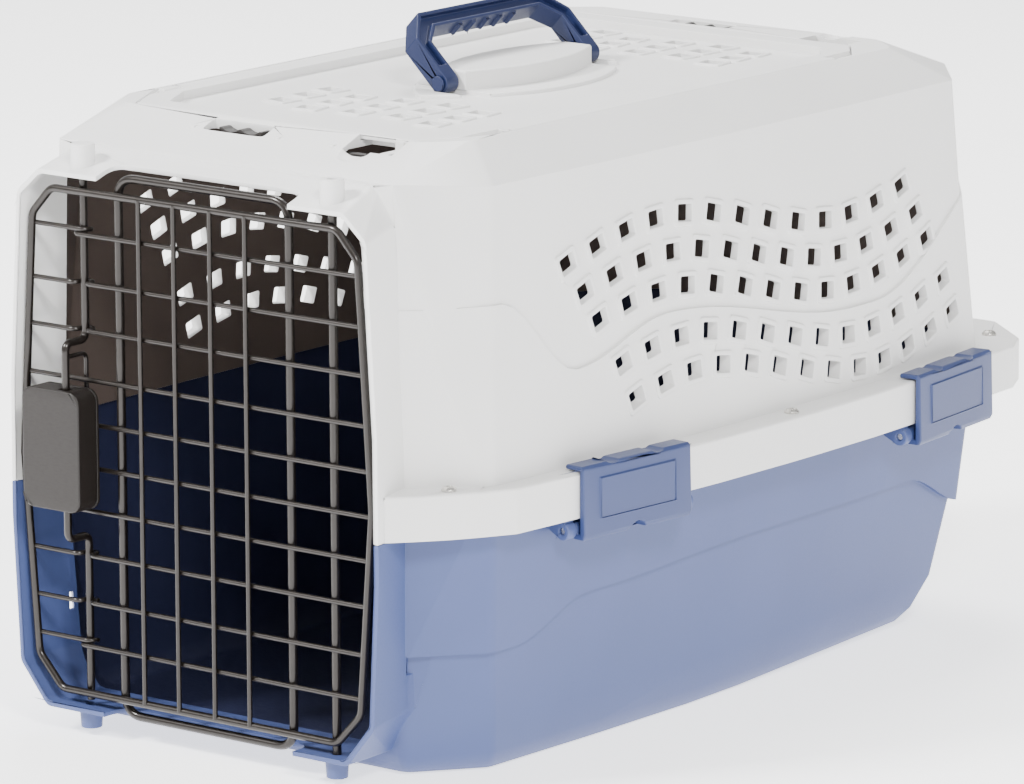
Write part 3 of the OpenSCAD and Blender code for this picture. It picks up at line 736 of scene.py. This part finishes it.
@dataclass
class Lines:
    """Outlines and heights that the shells share, in millimetres."""

    plate_z: float = 160.0
    ledge_z: float = 163.0
    skirt_z: float = 138.0
    roof_z: float = 341.0
    eave_z: float = 321.0
    front_edge_z: float = 325.3
    wall: float = 3.0
    band_out: float = 3.0
    joint: Outline = field(default_factory=lambda: [
        (123, -248), (158.6, -216), (164, -110), (166, 10), (163, 130), (152, 240), (108, 288)])
    eave: Outline = field(default_factory=lambda: [
        (118, -248), (146, -200), (148.5, -100), (149.5, 10), (148.5, 120), (146, 222),
        (108, 268)])
    front_edge: Outline = field(default_factory=lambda: [(117, -248), (100, 257)])
    roof: Outline = field(default_factory=lambda: [
        (104, -208), (122, -186), (122, 195), (100, 213)])
    flange: Outline = field(default_factory=lambda: [
        (128, -272), (153, -243), (171, -211), (174, -170), (182, -72), (183, 30),
        (180.5, 132), (169, 232), (167, 256), (156, 278), (118, 309)])
    collar_back: Outline = field(default_factory=lambda: [
        (106, 14), (121, 40), (123, 159), (117, 305), (104, 325)])
    collar_front: Outline = field(default_factory=lambda: [
        (107, 14), (126, 37), (132, 155), (123, 300), (107, 314)])
    collar_y: float = -277.0
    root_y: float = -244.0
    split_y: float = -262.0
    collar_t: float = 2.8
    across: Span = (-150.0, 150.0)
    collar_y_room: Span = (-280.0, -243.0)
    corner: float = 10.0
    hinge: Point = (92.0, -267.0)
    latch: Point = (-83.4, -266.7)
    pivot_r: float = 2.6
    screw_hole_r: float = 2.2
    screws: Outline = field(default_factory=lambda: [(146, -237.6), (174, 30), (138, 273)])
    lid: Outline = field(default_factory=lambda: [(98, -206), (119, -165), (119, 160), (98, 188)])
    lid_hinge: Point = (117.0, 338.0)
    barrel_r: float = 3.4
    barrel_y: Span = (-150.0, 145.0)
    bar_out: float = 10.5
    bar_z: Span = (329.0, 332.6)
    clip_spots: list[tuple[Point, Point, float]] = field(default_factory=lambda: [
        ((174, -170), (182, -72), 0.51), ((180.5, 132), (169, 232), 0.5)])
    clip_length: float = 86.0
    clip_pin: Point = (-5.5, 131.5)

    def collar(self, inwards: float, front: float = 0.0, back: float = 0.0) -> Form:
        """Return the solid collar round the front doorway.

        Args:
            inwards: distance inside the collar's outer face.
            front: how far its section is carried past the front.
            back: how far its section is carried past the root.

        Returns:
            The collar's convex form.
        """
        outer = ring(self.collar_front, 7, inwards)
        inner = ring(self.collar_back, 7, inwards)
        form = Form.hull([(self.root_y, inner), (self.collar_y, outer)], Facing.Y)
        if front:
            form.plus(Form.prism(outer, (self.collar_y - front, self.collar_y + 0.02), Facing.Y))
        if back:
            form.plus(Form.prism(inner, (self.root_y - 0.02, self.root_y + back), Facing.Y))
        return form

    def lips(self, z: Span) -> Form:
        """Return the space where the collar's lip is set back between its boss tabs."""
        corners = [(-65, -262), (-65, -300), (69, -300), (69, -262)]
        return Form.prism(filleted(corners[::-1], 9)[::-1], z)

    def along_lid(self, side: int, span: Span, radius: float) -> Form:
        """Return a round bar on the top door's hinge line, on one side."""
        x, z = side * self.lid_hinge[0], self.lid_hinge[1]
        return Form.rod(Vector((x, span[0], z)), Vector((x, span[1], z)), radius)

    def clip_seat(self, spot: int) -> Matrix:
        """Return the place of a right-hand clip: X outwards, Y along the flange."""
        a, b, share = self.clip_spots[spot]
        middle = Vector(a).lerp(Vector(b), share)
        turn = math.atan2(b[1] - a[1], b[0] - a[0]) - math.pi / 2
        return Matrix.Translation((*middle, 0)) @ Matrix.Rotation(turn, 4, "Z")

    def clip_rod(self, spot: int, length: float, radius: float, middle: float = 0.0) -> Form:
        """Return a round bar on a right-hand clip's hinge line."""
        x, z = self.clip_pin
        rod = Form.rod(Vector((x, middle - length / 2, z)), Vector((x, middle + length / 2, z)),
                       radius)
        return rod.placed(self.clip_seat(spot))

    def screw_holes(self, z: Span) -> list[Form]:
        """Return the holes for the flange screws."""
        return [Form.post((s * x, y), z, self.screw_hole_r)
                for s in (-1, 1) for x, y in self.screws]


@dataclass
class SideVents:
    """The wavy rows of vents in the upper shell's sides."""

    rows: list[tuple[float, float, float]] = field(default_factory=lambda: [
        (272.5, -143, -58), (252.3, -130, -58), (233, -119, -58), (206, -104, -48),
        (186, -95, -38)])
    columns: int = 13
    step: float = 25.6
    hole: Point = (12.5, 9.5)
    rim: float = 2.6
    wave: float = 12.0
    period: float = 318.0

    def outlines(self, rows: list[int], grow: float, radius: float) -> list[Outline]:
        """Return the rounded outlines of some rows of vents, as y and z.

        Args:
            rows: numbers of the rows, counted from the top.
            grow: how far each outline lies outside the hole.
            radius: radius of the outline's corners.

        Returns:
            One outline for each vent.
        """
        made = []
        for row in rows:
            height, first, crest = self.rows[row]
            for column in range(self.columns):
                y = first + column * self.step
                phase = 2 * math.pi * (y - crest) / self.period
                slope = -self.wave * 2 * math.pi / self.period * math.sin(phase)
                made.append(turned_box(
                    (y, height + self.wave * math.cos(phase)),
                    (self.hole[0] + 2 * grow, self.hole[1] + 2 * grow),
                    math.degrees(math.atan(1.5 * slope)), radius))
        return made


def under(knots: Outline, low: float, step: int = 8) -> Outline:
    """Return the side view's area between a height and a wave through knots, as y and z."""
    crest = [(y, along_knots(knots, y)) for y in range(330, -310, -step)]
    return [(-310, low), (330, low)] + crest


# --- Upper shell --------------------------------------------------------------------------------


@dataclass
class UpperShell:
    """The off-white upper shell, with its flange skirt, vents, collar and roof fittings."""

    lines: Lines
    vents: SideVents
    ridge: Outline = field(default_factory=lambda: [
        (-200, 258), (-142, 214), (-61, 232), (112, 208), (130, 208), (280, 268)])
    rim_out: float = 1.2
    band_top: float = 0.75
    lid_gap: float = 0.8
    seat_z: float = 337.5
    ceiling_z: float = 334.0
    opening_in: float = 12.0
    rail_half: float = 6.5
    slot: Outline = field(default_factory=lambda: [(-37, -5.5), (6, -5.5), (6, 5.5), (-37, 5.5)])
    notch_x: Span = (62.0, 96.0)
    scoop_x: float = 72.0
    scoop_out: float = 13.0
    scoop_r: float = 17.0
    guide_x: tuple[float, ...] = (-46, 14, 52)
    guide_t: float = 4.0

    def wall(self, out: float) -> Form:
        """Return the body's convex form, with its outer face moved out by a distance."""
        lines = self.lines
        joint = inset(whole(lines.joint), lines.band_out - out)
        form = Form.hull([
            (lines.plate_z, filleted(joint, lines.corner)),
            (lines.eave_z, ring(lines.eave, lines.corner, -out)),
            (lines.front_edge_z, whole(lines.front_edge)),
            (lines.roof_z, ring(lines.roof, lines.corner))])
        return form.rounded(4.5, 4, 14, between=(lines.plate_z + 20, 400), steepest=30)

    def band(self, out: float) -> Form:
        """Return the convex form of the body's proud lower band."""
        lines = self.lines
        low = inset(whole(lines.joint), -out)
        high = inset(whole(mixed(lines.joint, lines.eave, self.band_top)), -out)
        top = lines.plate_z + (lines.eave_z - lines.plate_z) * self.band_top
        return Form.hull([(lines.plate_z, filleted(low, lines.corner)),
                          (top, filleted(high, lines.corner))])

    def cavity(self) -> Form:
        """Return the space inside the body."""
        lines = self.lines
        return Form.hull([
            (lines.skirt_z - 20, ring(lines.joint, 8, lines.wall + 1.5)),
            (lines.eave_z - lines.wall, ring(lines.eave, 8, lines.wall)),
            (lines.front_edge_z - 3.8, whole([(114, -245), (97, 252)])),
            (self.ceiling_z, filleted(whole([(100, -217), (126, -190), (126, 200), (96, 222)]),
                                      8))])

    def flange(self) -> Form:
        """Return the flange with its hollow skirt."""
        lines = self.lines
        edge = ring(lines.flange, 7)
        form = Form.prism(edge, (lines.skirt_z, lines.ledge_z)).rounded(
            1.6, 3, 40, between=(lines.ledge_z - 1, 400))
        hollow = Form.prism(ring(lines.flange, 5, 2.5),
                            (lines.skirt_z - 1, lines.plate_z))
        hollow.minus(Form.box((-132, 132), (-290, lines.split_y), (100, 200)))
        return form.minus(hollow)

    def pocket(self) -> Form:
        """Return the seat of the top door, the opening under it and the hinge grooves."""
        lines = self.lines
        seat = ring(lines.lid, 4, -self.lid_gap)
        form = Form.prism(seat, (self.seat_z, 360))
        near, far = lines.barrel_y[0] - 0.4, lines.barrel_y[1] + 0.4
        groove = lines.barrel_r + 0.6
        for side in (-1, 1):
            x, z = side * lines.lid_hinge[0], lines.lid_hinge[1]
            form.plus(lines.along_lid(side, (near, far), groove),
                      Form.box((x - groove, x + groove), (near, far), (z, 357)))
        for y in ((-163.5, near), (far, 158.5)):
            form.minus(Form.box((-122, -112), y, (330, lines.lid_hinge[1])),
                       lines.along_lid(-1, y, lines.barrel_r))
        return form.plus(
            Form.prism(ring(lines.lid, 4, self.opening_in), (310, 350)))

    def latch_cuts(self) -> list[Form]:
        """Return the slots, corner notches and thumb scoops of both top latches."""
        cuts = []
        lid, out = self.lines.lid, self.lines.bar_out
        for edge_y, way, scoop_z in ((lid[0][1], -1, 347.5), (lid[3][1], 1, 355)):
            y = edge_y + way * out
            cuts.append(Form.prism(filleted(shifted(self.slot, (0, y)), 3), (320, 350)))
            near, far = sorted((edge_y - way * 9, y + way * 6))
            cuts.append(Form.box(self.notch_x, (near, far), (320, 350)))
            cuts.append(Form.ball(Vector((self.scoop_x, y + way * self.scoop_out, scoop_z)),
                                  self.scoop_r))
        return cuts

    def latch_guides(self) -> list[Form]:
        """Return the guides that hold both top latches under the roof."""
        made = []
        lines = self.lines
        low, high = lines.bar_z[0] - 0.4, lines.bar_z[1] + 0.4
        for edge_y, way in ((lines.lid[0][1], -1), (lines.lid[3][1], 1)):
            y = edge_y + way * lines.bar_out
            for x in self.guide_x:
                end = x + self.guide_t
                block = Form.box((x, end), (y - 6, y + 6), (326, self.ceiling_z + 2.5))
                made.append(block.minus(Form.box((x - 1, end + 1), (y - 2.9, y + 2.9),
                                                 (low, high))))
        return made

    def rails(self) -> list[Form]:
        """Return the rails under the roof that carry the hinge grooves."""
        x, half = self.lines.lid_hinge[0], self.rail_half
        return [Form.box((side * x - half, side * x + half), (-165, 160),
                         (self.ceiling_z - 3, self.ceiling_z + 0.5)) for side in (-1, 1)]

    def form(self) -> Form:
        """Return the whole upper shell."""
        lines, vents = self.lines, self.vents
        form = self.wall(0)
        side = (-200.0, 200.0)
        band = self.band(0).within(Form.prism(under(self.ridge, 155), side, Facing.X))
        band.rounded(1.8, 3, 50, between=(180, 400), steepest=75)
        form.plus(band)
        high_rims = Form.prisms(vents.outlines([0, 1, 2], vents.rim, 2.6), side, Facing.X)
        form.plus(high_rims.within(self.wall(self.rim_out)))
        low_rims = Form.prisms(vents.outlines([3, 4], vents.rim, 2.6), side, Facing.X)
        form.plus(low_rims.within(self.band(self.rim_out)))
        form.plus(self.flange())
        across, room = lines.across, lines.collar_y_room
        collar = lines.collar(0).within(Form.box(across, room, (lines.skirt_z, 330)))
        keep = Form.box(across, (room[0], lines.split_y), (100, lines.plate_z + 0.5))
        form.plus(collar.within(keep.plus(Form.box(across, room, (lines.plate_z, 330)))))
        bosses = [Form.post(at, (311, 329), 6.8, 6.6).rounded(0.8, 3, 60)
                  for at in (lines.hinge, lines.latch)]
        form.plus(*bosses)
        # The cavity's faces take the darker painted-shade inside colour.
        form.minus(self.cavity().in_painted_shade())
        form.plus(*self.latch_guides(), *self.rails())
        form.minus(lines.collar(lines.collar_t, 5, 19), lines.lips((300, 335)))
        holes = Form.prisms(vents.outlines([0, 1, 2, 3, 4], 0, 1.2), side, Facing.X)
        form.minus(holes, self.pocket(), *self.latch_cuts())
        form.minus(Form.post(lines.hinge, (300, 335), lines.pivot_r),
                   Form.post(lines.latch, (300, 322), lines.pivot_r),
                   *lines.screw_holes((156, 166)))
        return form


# --- Top door -------------------------------------------------------------------------------------


@dataclass
class TopDoor:
    """The lifting top door, with its sunk panel, vents, handle block and strikes."""

    lines: Lines
    border_t: float = 3.0
    tub_in: float = 13.5
    tub_wall: float = 2.8
    panel_z: float = 336.0
    panel_t: float = 2.5
    vent_x: tuple[float, ...] = (-57, -29, 0, 29, 57)
    vent_shift: tuple[float, ...] = (5, -5, 0, 4, -4)
    vent_rows: tuple[float, ...] = (-136, -115, -94, 116, 135, 154)
    vent_hole: Point = (12, 11)
    rim: float = 2.6
    middle_y: float = 5.0
    pad: Point = (86, 44)
    block: Point = (71, 24)
    block_half: float = 57.0
    leg_y: float = 63.75
    leg_half: float = 6.65
    pivot_z: float = 342.6
    pivot_r: float = 3.0
    rod_bore_r: float = 1.88
    strike_x: Span = (86.0, 92.0)
    strike_r: float = 2.7

    def vents(self, grow: float, radius: float) -> list[Outline]:
        """Return the outlines of the panel's vents, or of the rims round them."""
        size = (self.vent_hole[0] + 2 * grow, self.vent_hole[1] + 2 * grow)
        return [turned_box((x, y + shift), size, -1.6 * shift, radius)
                for y in self.vent_rows for x, shift in zip(self.vent_x, self.vent_shift)]

    def tray(self) -> Form:
        """Return the border, the sunk panel and the rolled barrels along both sides."""
        lines = self.lines
        top = lines.roof_z
        border = Form.prism(ring(lines.lid, 4), (top - self.border_t, top))
        border.rounded(0.9, 3, 40, between=(top - 0.1, 400), steepest=20)
        tub = inset(whole(lines.lid), self.tub_in)
        form = border.plus(Form.prism(filleted(tub, 6), (self.panel_z - self.panel_t, top - 2)))
        sunk = Form.prism(filleted(inset(tub, self.tub_wall), 6), (self.panel_z, top + 15))
        form.plus(*[lines.along_lid(side, lines.barrel_y, lines.barrel_r).rounded(0.8, 3, 60)
                    for side in (-1, 1)])
        form.minus(sunk)
        near, far = lines.barrel_y
        for side in (-1, 1):
            reach = tuple(sorted((side * 110.5, side * 125)))
            form.minus(Form.box(reach, (-182, near), (325, 350)),
                       Form.box(reach, (far, 172), (325, 350)))
        return form

    def fittings(self) -> list[Form]:
        """Return the pad, the handle block, the vent rims and the strikes."""
        low = self.panel_z - 0.1
        pad = Form.prism(shifted(lens(*self.pad), (0, self.middle_y)), (low, self.panel_z + 2.2))
        pad.rounded(1.2, 4, 40, between=(self.panel_z + 2, 400), steepest=20)
        outline = shifted(lens(*self.block, self.block_half), (0, self.middle_y))
        block = Form.prism(outline, (low, self.panel_z + 13))
        block.rounded(1.6, 4, 30, between=(self.panel_z + 12, 400), steepest=20)
        rims = Form.prisms(self.vents(self.rim, 2.4), (low, self.panel_z + 1.2), Facing.Z)
        return [pad.plus(block), rims, self.strike(self.lines.lid[0][1], -1),
                self.strike(self.lines.lid[3][1], 1)]

    def strike(self, edge_y: float, way: int) -> Form:
        """Return the catch that one top latch's bar slides through."""
        lines = self.lines
        y = edge_y + way * lines.bar_out
        reach = tuple(sorted((edge_y - way * 2, y + way * 4)))
        neck = tuple(sorted((edge_y - way * 8, edge_y + way * 1.5)))
        low = 326.5
        form = Form.box(self.strike_x, reach, (low, 335)).plus(
            Form.box(self.strike_x, neck, (low, lines.roof_z - 1)))
        hole = Vector((self.strike_x[0] - 1, y, sum(lines.bar_z) / 2))
        return form.minus(Form.rod(hole, hole + Vector((5, 0, 0)), self.strike_r))

    def form(self) -> Form:
        """Return the whole top door."""
        lines = self.lines
        form = self.tray().plus(*self.fittings())
        form.minus(Form.prisms(self.vents(0, 1.2), (320, 360), Facing.Z))
        for way in (-1, 1):
            leg = self.middle_y + way * self.leg_y
            slot = filleted([(-30, leg - self.leg_half), (30, leg - self.leg_half),
                             (30, leg + self.leg_half), (-30, leg + self.leg_half)], 1.5)
            pin = self.middle_y + way * self.block_half
            form.minus(Form.prism(slot, (self.panel_z, 360)),
                       Form.rod(Vector((0, pin, self.pivot_z)),
                                Vector((0, pin - way * 14, self.pivot_z)), self.pivot_r))
            form.minus(lines.along_lid(way, (-160, 160), self.rod_bore_r))
        return form


# --- Lower shell ----------------------------------------------------------------------------------


@dataclass
class LowerShell:
    """The blue lower shell, with its tapered base, lip, collar and clip lugs."""

    lines: Lines
    levels: list[tuple[float, Outline]] = field(default_factory=lambda: [
        (0, [(106, -226), (134, -190), (136, -100), (136, 10), (130, 70), (116, 195), (86, 226)]),
        (4, [(111, -233), (139.5, -195), (141, -100), (141, 10), (136, 80), (125, 200),
             (94, 237)]),
        (12, [(114.5, -238), (144.5, -199), (146, -100), (146, 10), (142, 80), (132, 205),
              (100, 243)]),
        (30, [(116.5, -241), (146.5, -202), (149, -100), (150, 10), (147, 100), (138, 215),
              (105, 254)]),
        (75, [(118, -243), (149, -206), (152, -100), (154, 10), (151, 120), (142, 228),
              (108, 267)])])
    band: Outline = field(default_factory=lambda: [
        (121, -247), (152, -209), (155, -105), (157, 10), (154, 122), (145, 231), (111, 271)])
    emboss: Outline = field(default_factory=lambda: [
        (-190, 70), (-130, 89.5), (29, 96), (170, 96), (240, 72)])
    bore_r: float = 2.03

    def wall(self) -> Form:
        """Return the body's convex form."""
        lines = self.lines
        slices = [(z, ring(half, lines.corner)) for z, half in self.levels]
        top = ring(lines.joint, lines.corner, lines.band_out)
        form = Form.hull(slices + [(lines.plate_z - 0.01, top)])
        return form.rounded(2.0, 3, 25, between=(-1, 2), steepest=30)

    def cavity(self) -> Form:
        """Return the space inside the body."""
        lines = self.lines
        floors = (3, 6, 13, 30, 75)
        slices = [(z, ring(half, 8, lines.wall)) for z, (_, half) in zip(floors, self.levels)]
        top = ring(lines.joint, 8, lines.wall + 1.5)
        return Form.hull(slices + [(lines.plate_z + 1, top)])

    def upper_band(self) -> Form:
        """Return the proud band round the top of the body, with its soft lower edge."""
        lines = self.lines
        band = Form.hull([(70, ring(self.band, lines.corner)),
                          (lines.plate_z - 0.01, ring(lines.joint, lines.corner))])
        band.minus(Form.prism(under(self.emboss, -10), (-210, 210), Facing.X))
        return band.rounded(1.8, 3, 50, between=(60, 110), steepest=75)

    def lugs(self) -> list[Form]:
        """Return the lugs that carry the right-hand clips' hinge pins."""
        lines = self.lines
        made = []
        x, z = lines.clip_pin
        profile = [(-24, 136), (-9, 128), (x, z), (-3.4, 137), (-3.4, 157), (-24, 157)]
        for spot in range(len(lines.clip_spots)):
            for way in (-1, 1):
                middle = way * (lines.clip_length / 2 + 4)
                web = Form.prism(profile, (middle - 3.5, middle + 3.5), Facing.Y)
                web.placed(lines.clip_seat(spot)).plus(
                    lines.clip_rod(spot, 7, 5, middle).rounded(0.8, 3, 60))
                made.append(web.minus(lines.clip_rod(spot, 9, self.bore_r, middle)))
        return made

    def form(self) -> Form:
        """Return the whole lower shell."""
        lines = self.lines
        form = self.wall().plus(self.upper_band())
        lip = Form.prism(ring(lines.flange, 5, 3.1), (lines.plate_z - 3, lines.plate_z))
        across, room = lines.across, lines.collar_y_room
        form.plus(lip.minus(Form.box(across, (-300, -253), (100, 200))))
        keep = Form.box(across, room, (0, lines.skirt_z - 0.3)).plus(
            Form.box(across, (lines.split_y + 0.3, room[1]), (100, lines.plate_z - 0.01)))
        form.plus(lines.collar(0).within(keep))
        root = Form.prism(ring(lines.collar_back, 7), (-245, -228), Facing.Y)
        form.plus(root.within(Form.box(across, (-250, -220), (0, 60))))
        for at in (lines.hinge, lines.latch):
            form.plus(Form.post(at, (4, 19), 5.8, 6.8))
        for lug in self.lugs():
            form.plus(lug, lug.mirrored())
        # The cavity's faces take the darker painted-shade inside colour.
        form.minus(self.cavity().in_painted_shade(), lines.collar(lines.collar_t, 5, 19),
                   lines.lips((0, 30)))
        form.minus(Form.post(lines.hinge, (6.5, 25), lines.pivot_r),
                   Form.post(lines.latch, (7, 25), lines.pivot_r),
                   *lines.screw_holes((150, 166)))
        return form


# --- Front door -------------------------------------------------------------------------------------


@dataclass
class WireDoor:
    """The welded wire door, with its hinge rod, its two latch rods and their spring."""

    lines: Lines
    outline: Outline = field(default_factory=lambda: [
        (98, 24.2), (114.6, 42), (123.2, 154), (114.6, 288), (100.5, 303.2)])
    middle: float = -1.8
    frame_r: float = 2.2
    mesh_r: float = 1.4
    rod_r: float = 2.5
    latch_r: float = 2.2
    tail_r: float = 1.3
    spring_r: float = 2.35
    spring_wire_r: float = 0.5
    spring_z: Span = (147.8, 174.8)
    spring_mid_z: float = 161.2
    spring_turns: int = 8
    spring_kept: float = 0.29
    frame_y: float = -271.6
    mesh_y: float = -270.6
    upright_y: float = -273.1
    leg_y: float = -283.5
    cross_z: tuple[float, ...] = (281, 252.5, 226.5, 199.5, 175, 150.7, 126.6, 101.5, 75, 52)
    upright_x: tuple[float, ...] = (-38.6, -13.9, 11.7, 36.3)
    loop_x: Span = (-58, 62)
    loop_z: Span = (15, 313)
    coiled: tuple[int, ...] = (0, 9)
    jogged: tuple[int, ...] = (1, 2, 7, 8)

    def half_width(self, z: float) -> float:
        """Return half the door's width at a height."""
        for (x0, z0), (x1, z1) in zip(self.outline, self.outline[1:]):
            if z <= z1:
                return x0 + (x1 - x0) * (z - z0) / (z1 - z0)
        return self.outline[-1][0]

    def cross_wire(self, row: int) -> list[Vector]:
        """Return the centre line of one cross wire."""
        z = self.cross_z[row]
        half = self.half_width(z)
        left = Vector((self.middle - half, self.mesh_y, z))
        right = Vector((self.middle + half, self.mesh_y, z))
        turn = self.latch_r + 0.35 + self.mesh_r
        x, y = self.lines.latch
        if row in self.jogged:
            corners = [left, Vector((x - turn, self.mesh_y, z)), Vector((x - turn, y + turn, z)),
                       Vector((x + turn, y + turn, z)), Vector((x + turn, self.mesh_y, z)), right]
            return bent(corners, 3.9)
        if row in self.coiled:
            rise = self.mesh_r + 0.15
            coil = []
            steps = 30
            for k in range(steps + 1):
                angle = 2 * math.pi * k / steps
                height = z + rise - 2 * rise * eased(k / steps)
                coil.append(Vector((x + turn * math.sin(angle), y - turn * math.cos(angle),
                                    height)))
            start, end = left + Vector((0, 0, rise)), right - Vector((0, 0, rise))
            lead = Vector((x - turn - 4, self.mesh_y, z + rise))
            trail = Vector((x + turn + 4, self.mesh_y, z - rise))
            return [start, lead, *coil, trail, end]
        return [left, right]

    def build(self, shop: Workshop) -> None:
        """Make the door's wires.

        Args:
            shop: the workshop that finishes the pieces.
        """
        outer = [Vector((self.middle + x, self.frame_y, z)) for x, z in whole(self.outline)]
        shop.wire("door_frame_wire", [Run(bent(outer, 9, True), self.frame_r, True)])
        shop.wire("door_cross_wires",
                  [Run(self.cross_wire(i), self.mesh_r) for i in range(len(self.cross_z))])
        low, high = self.outline[0][1], self.outline[-1][1]
        shop.wire("door_upright_wires", [
            Run([Vector((x, self.upright_y, low)), Vector((x, self.upright_y, high))],
                self.mesh_r) for x in self.upright_x])
        y = self.lines.hinge[1]
        loop = [Vector((a, y, b)) for a, b in (
            (self.loop_x[0], self.loop_z[0]), (self.loop_x[1], self.loop_z[0]),
            (self.loop_x[1], self.loop_z[1]), (self.loop_x[0], self.loop_z[1]))]
        shop.wire("door_stiffener_loop", [Run(bent(loop, 12, True), self.rod_r, True)])
        hinge = Vector((*self.lines.hinge, 7))
        shop.wire("door_hinge_rod", [Run([hinge, hinge + Vector((0, 0, 319.5))], self.rod_r)])
        self.build_rods(shop)

    def build_rods(self, shop: Workshop) -> None:
        """Make the two latch rods and the upper rod's tail."""
        x, y = self.lines.latch
        upper = [Vector((x, y, 310.6)), Vector((x, y, 221)), Vector((x, self.leg_y, 221)),
                 Vector((x, self.leg_y, 175.5))]
        tail = [Vector((x, self.leg_y, 213.5)), Vector((x, y, 213.5)), Vector((x, y, 137))]
        lower = [Vector((x, y, 19.4)), Vector((x, y, 112)), Vector((x, self.leg_y, 112)),
                 Vector((x, self.leg_y, 147))]
        shop.wire("latch_upper_rod",
                  [Run(bent(upper, 5), self.latch_r), Run(bent(tail, 4), self.tail_r)])
        shop.wire("latch_lower_rod", [Run(bent(lower, 5), self.latch_r)])
        self.build_spring(shop)

    def build_spring(self, shop: Workshop) -> None:
        """Make the coil spring that keeps the two latch rods apart."""
        x = self.lines.latch[0]
        low, high = self.spring_z
        steps = 18
        total = self.spring_turns * steps
        coil = []
        for k in range(total + 1):
            angle = 2 * math.pi * k / steps
            coil.append(Vector((x + self.spring_r * math.cos(angle),
                                self.leg_y + self.spring_r * math.sin(angle),
                                low + (high - low) * k / total)))
        spring = shop.wire("latch_spring", [Run(coil, self.spring_wire_r)])
        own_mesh(spring)


# --- Studio -------------------------------------------------------------------------------------------


@dataclass
class Studio:
    """A plain pale floor, soft light and the camera."""

    azimuth: float = 38.464
    elevation: float = 12.036
    roll: float = -0.207
    distance: float = 4.1445
    target: tuple[float, float, float] = (0.0, 0.0, 0.1572)
    lens_mm: float = 257.72
    sensor_mm: float = 36.0

    def camera(self) -> None:
        """Place the camera."""
        az, el, roll = (math.radians(v) for v in (self.azimuth, self.elevation, self.roll))
        back = Vector((math.sin(az) * math.cos(el), -math.cos(az) * math.cos(el), math.sin(el)))
        right = Vector((math.cos(az), math.sin(az), 0))
        up = back.cross(right)
        rolled = right * math.cos(roll) + up * math.sin(roll)
        raised = up * math.cos(roll) - right * math.sin(roll)
        turn = Matrix((rolled, raised, back)).transposed().to_4x4()
        data = bpy.data.cameras.new("camera")
        data.lens = self.lens_mm
        data.sensor_width = self.sensor_mm
        data.clip_end = 50
        eye = bpy.data.objects.new("camera", data)
        eye.matrix_world = Matrix.Translation(Vector(self.target) + back * self.distance) @ turn
        bpy.context.scene.collection.objects.link(eye)
        bpy.context.scene.camera = eye

    def light(self, name: str, place: tuple[float, float, float], size: float,
              power: float) -> None:
        """Add a soft square light that faces the carrier."""
        data = bpy.data.lights.new(name, "AREA")
        data.energy = power
        data.size = size
        lamp = bpy.data.objects.new(name, data)
        lamp.location = place
        aim = Vector(self.target) - Vector(place)
        lamp.rotation_euler = aim.to_track_quat("-Z", "Y").to_euler()
        bpy.context.scene.collection.objects.link(lamp)

    def floor(self) -> None:
        """Lay the floor."""
        bm = bmesh.new()
        bmesh.ops.create_grid(bm, x_segments=1, y_segments=1, size=12)
        mesh = bpy.data.meshes.new("floor")
        bm.to_mesh(mesh)
        bm.free()
        ground = bpy.data.objects.new("floor", mesh)
        paper = Shader("floor_paper")
        paper.settle({"Base Color": (0.98, 0.98, 0.98, 1), "Emission Color": (1, 1, 1, 1),
                      "Emission Strength": 1.6, "Roughness": 0.9, "Specular IOR Level": 0.1})
        mesh.materials.append(paper.material)
        bpy.context.scene.collection.objects.link(ground)

    def build(self) -> None:
        """Set up the camera, the floor and the light."""
        self.camera()
        self.floor()
        world = bpy.data.worlds.new("studio")
        world.use_nodes = True
        sky = world.node_tree.nodes["Background"]
        sky.inputs["Color"].default_value = (1, 1, 1, 1)
        sky.inputs["Strength"].default_value = 0.6
        bpy.context.scene.world = world
        self.light("key", (-1.5, -2.4, 2.6), 0.7, 190)
        self.light("side", (2.6, -2.0, 2.6), 0.8, 150)
        self.light("top", (-0.9, 1.2, 2.6), 1.2, 80)


COPIES = {
    "shell_screws": 0.2, "shell_nuts": 0.2, "clip_pins": 0.3, "top_door_hinge_rod": 0.3,
    "handle_pins": 0.4, "handle": 0.7, "top_latch_front": 0.5, "top_latch_rear": 0.5,
    "latch_housing": 1.0, "latch_back_plate": 0.4, "clip_front_right": 0.8,
    "clip_rear_right": 0.8, "clip_front_left": 0.8, "clip_rear_left": 0.8,
}


def corners(box: tuple[Vector, Vector]) -> list[list[float]]:
    """Return a box as plain lists."""
    return [[float(v) for v in corner] for corner in box]


def main() -> None:
    """Build the carrier's looks round its frame."""
    logging.basicConfig(level=logging.INFO, format="%(name)s: %(message)s")
    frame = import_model()
    shop = Workshop(frame)
    Studio().build()
    lines = Lines()
    shop.piece(UpperShell(lines, SideVents()).form(), "top_shell")
    shop.piece(LowerShell(lines).form(), "bottom_shell")
    shop.piece(TopDoor(lines).form(), "top_door")
    for node, edge in COPIES.items():
        shop.piece(shop.copy(node), node, edge)
    WireDoor(lines).build(shop)


if __name__ == "__main__":
    main()
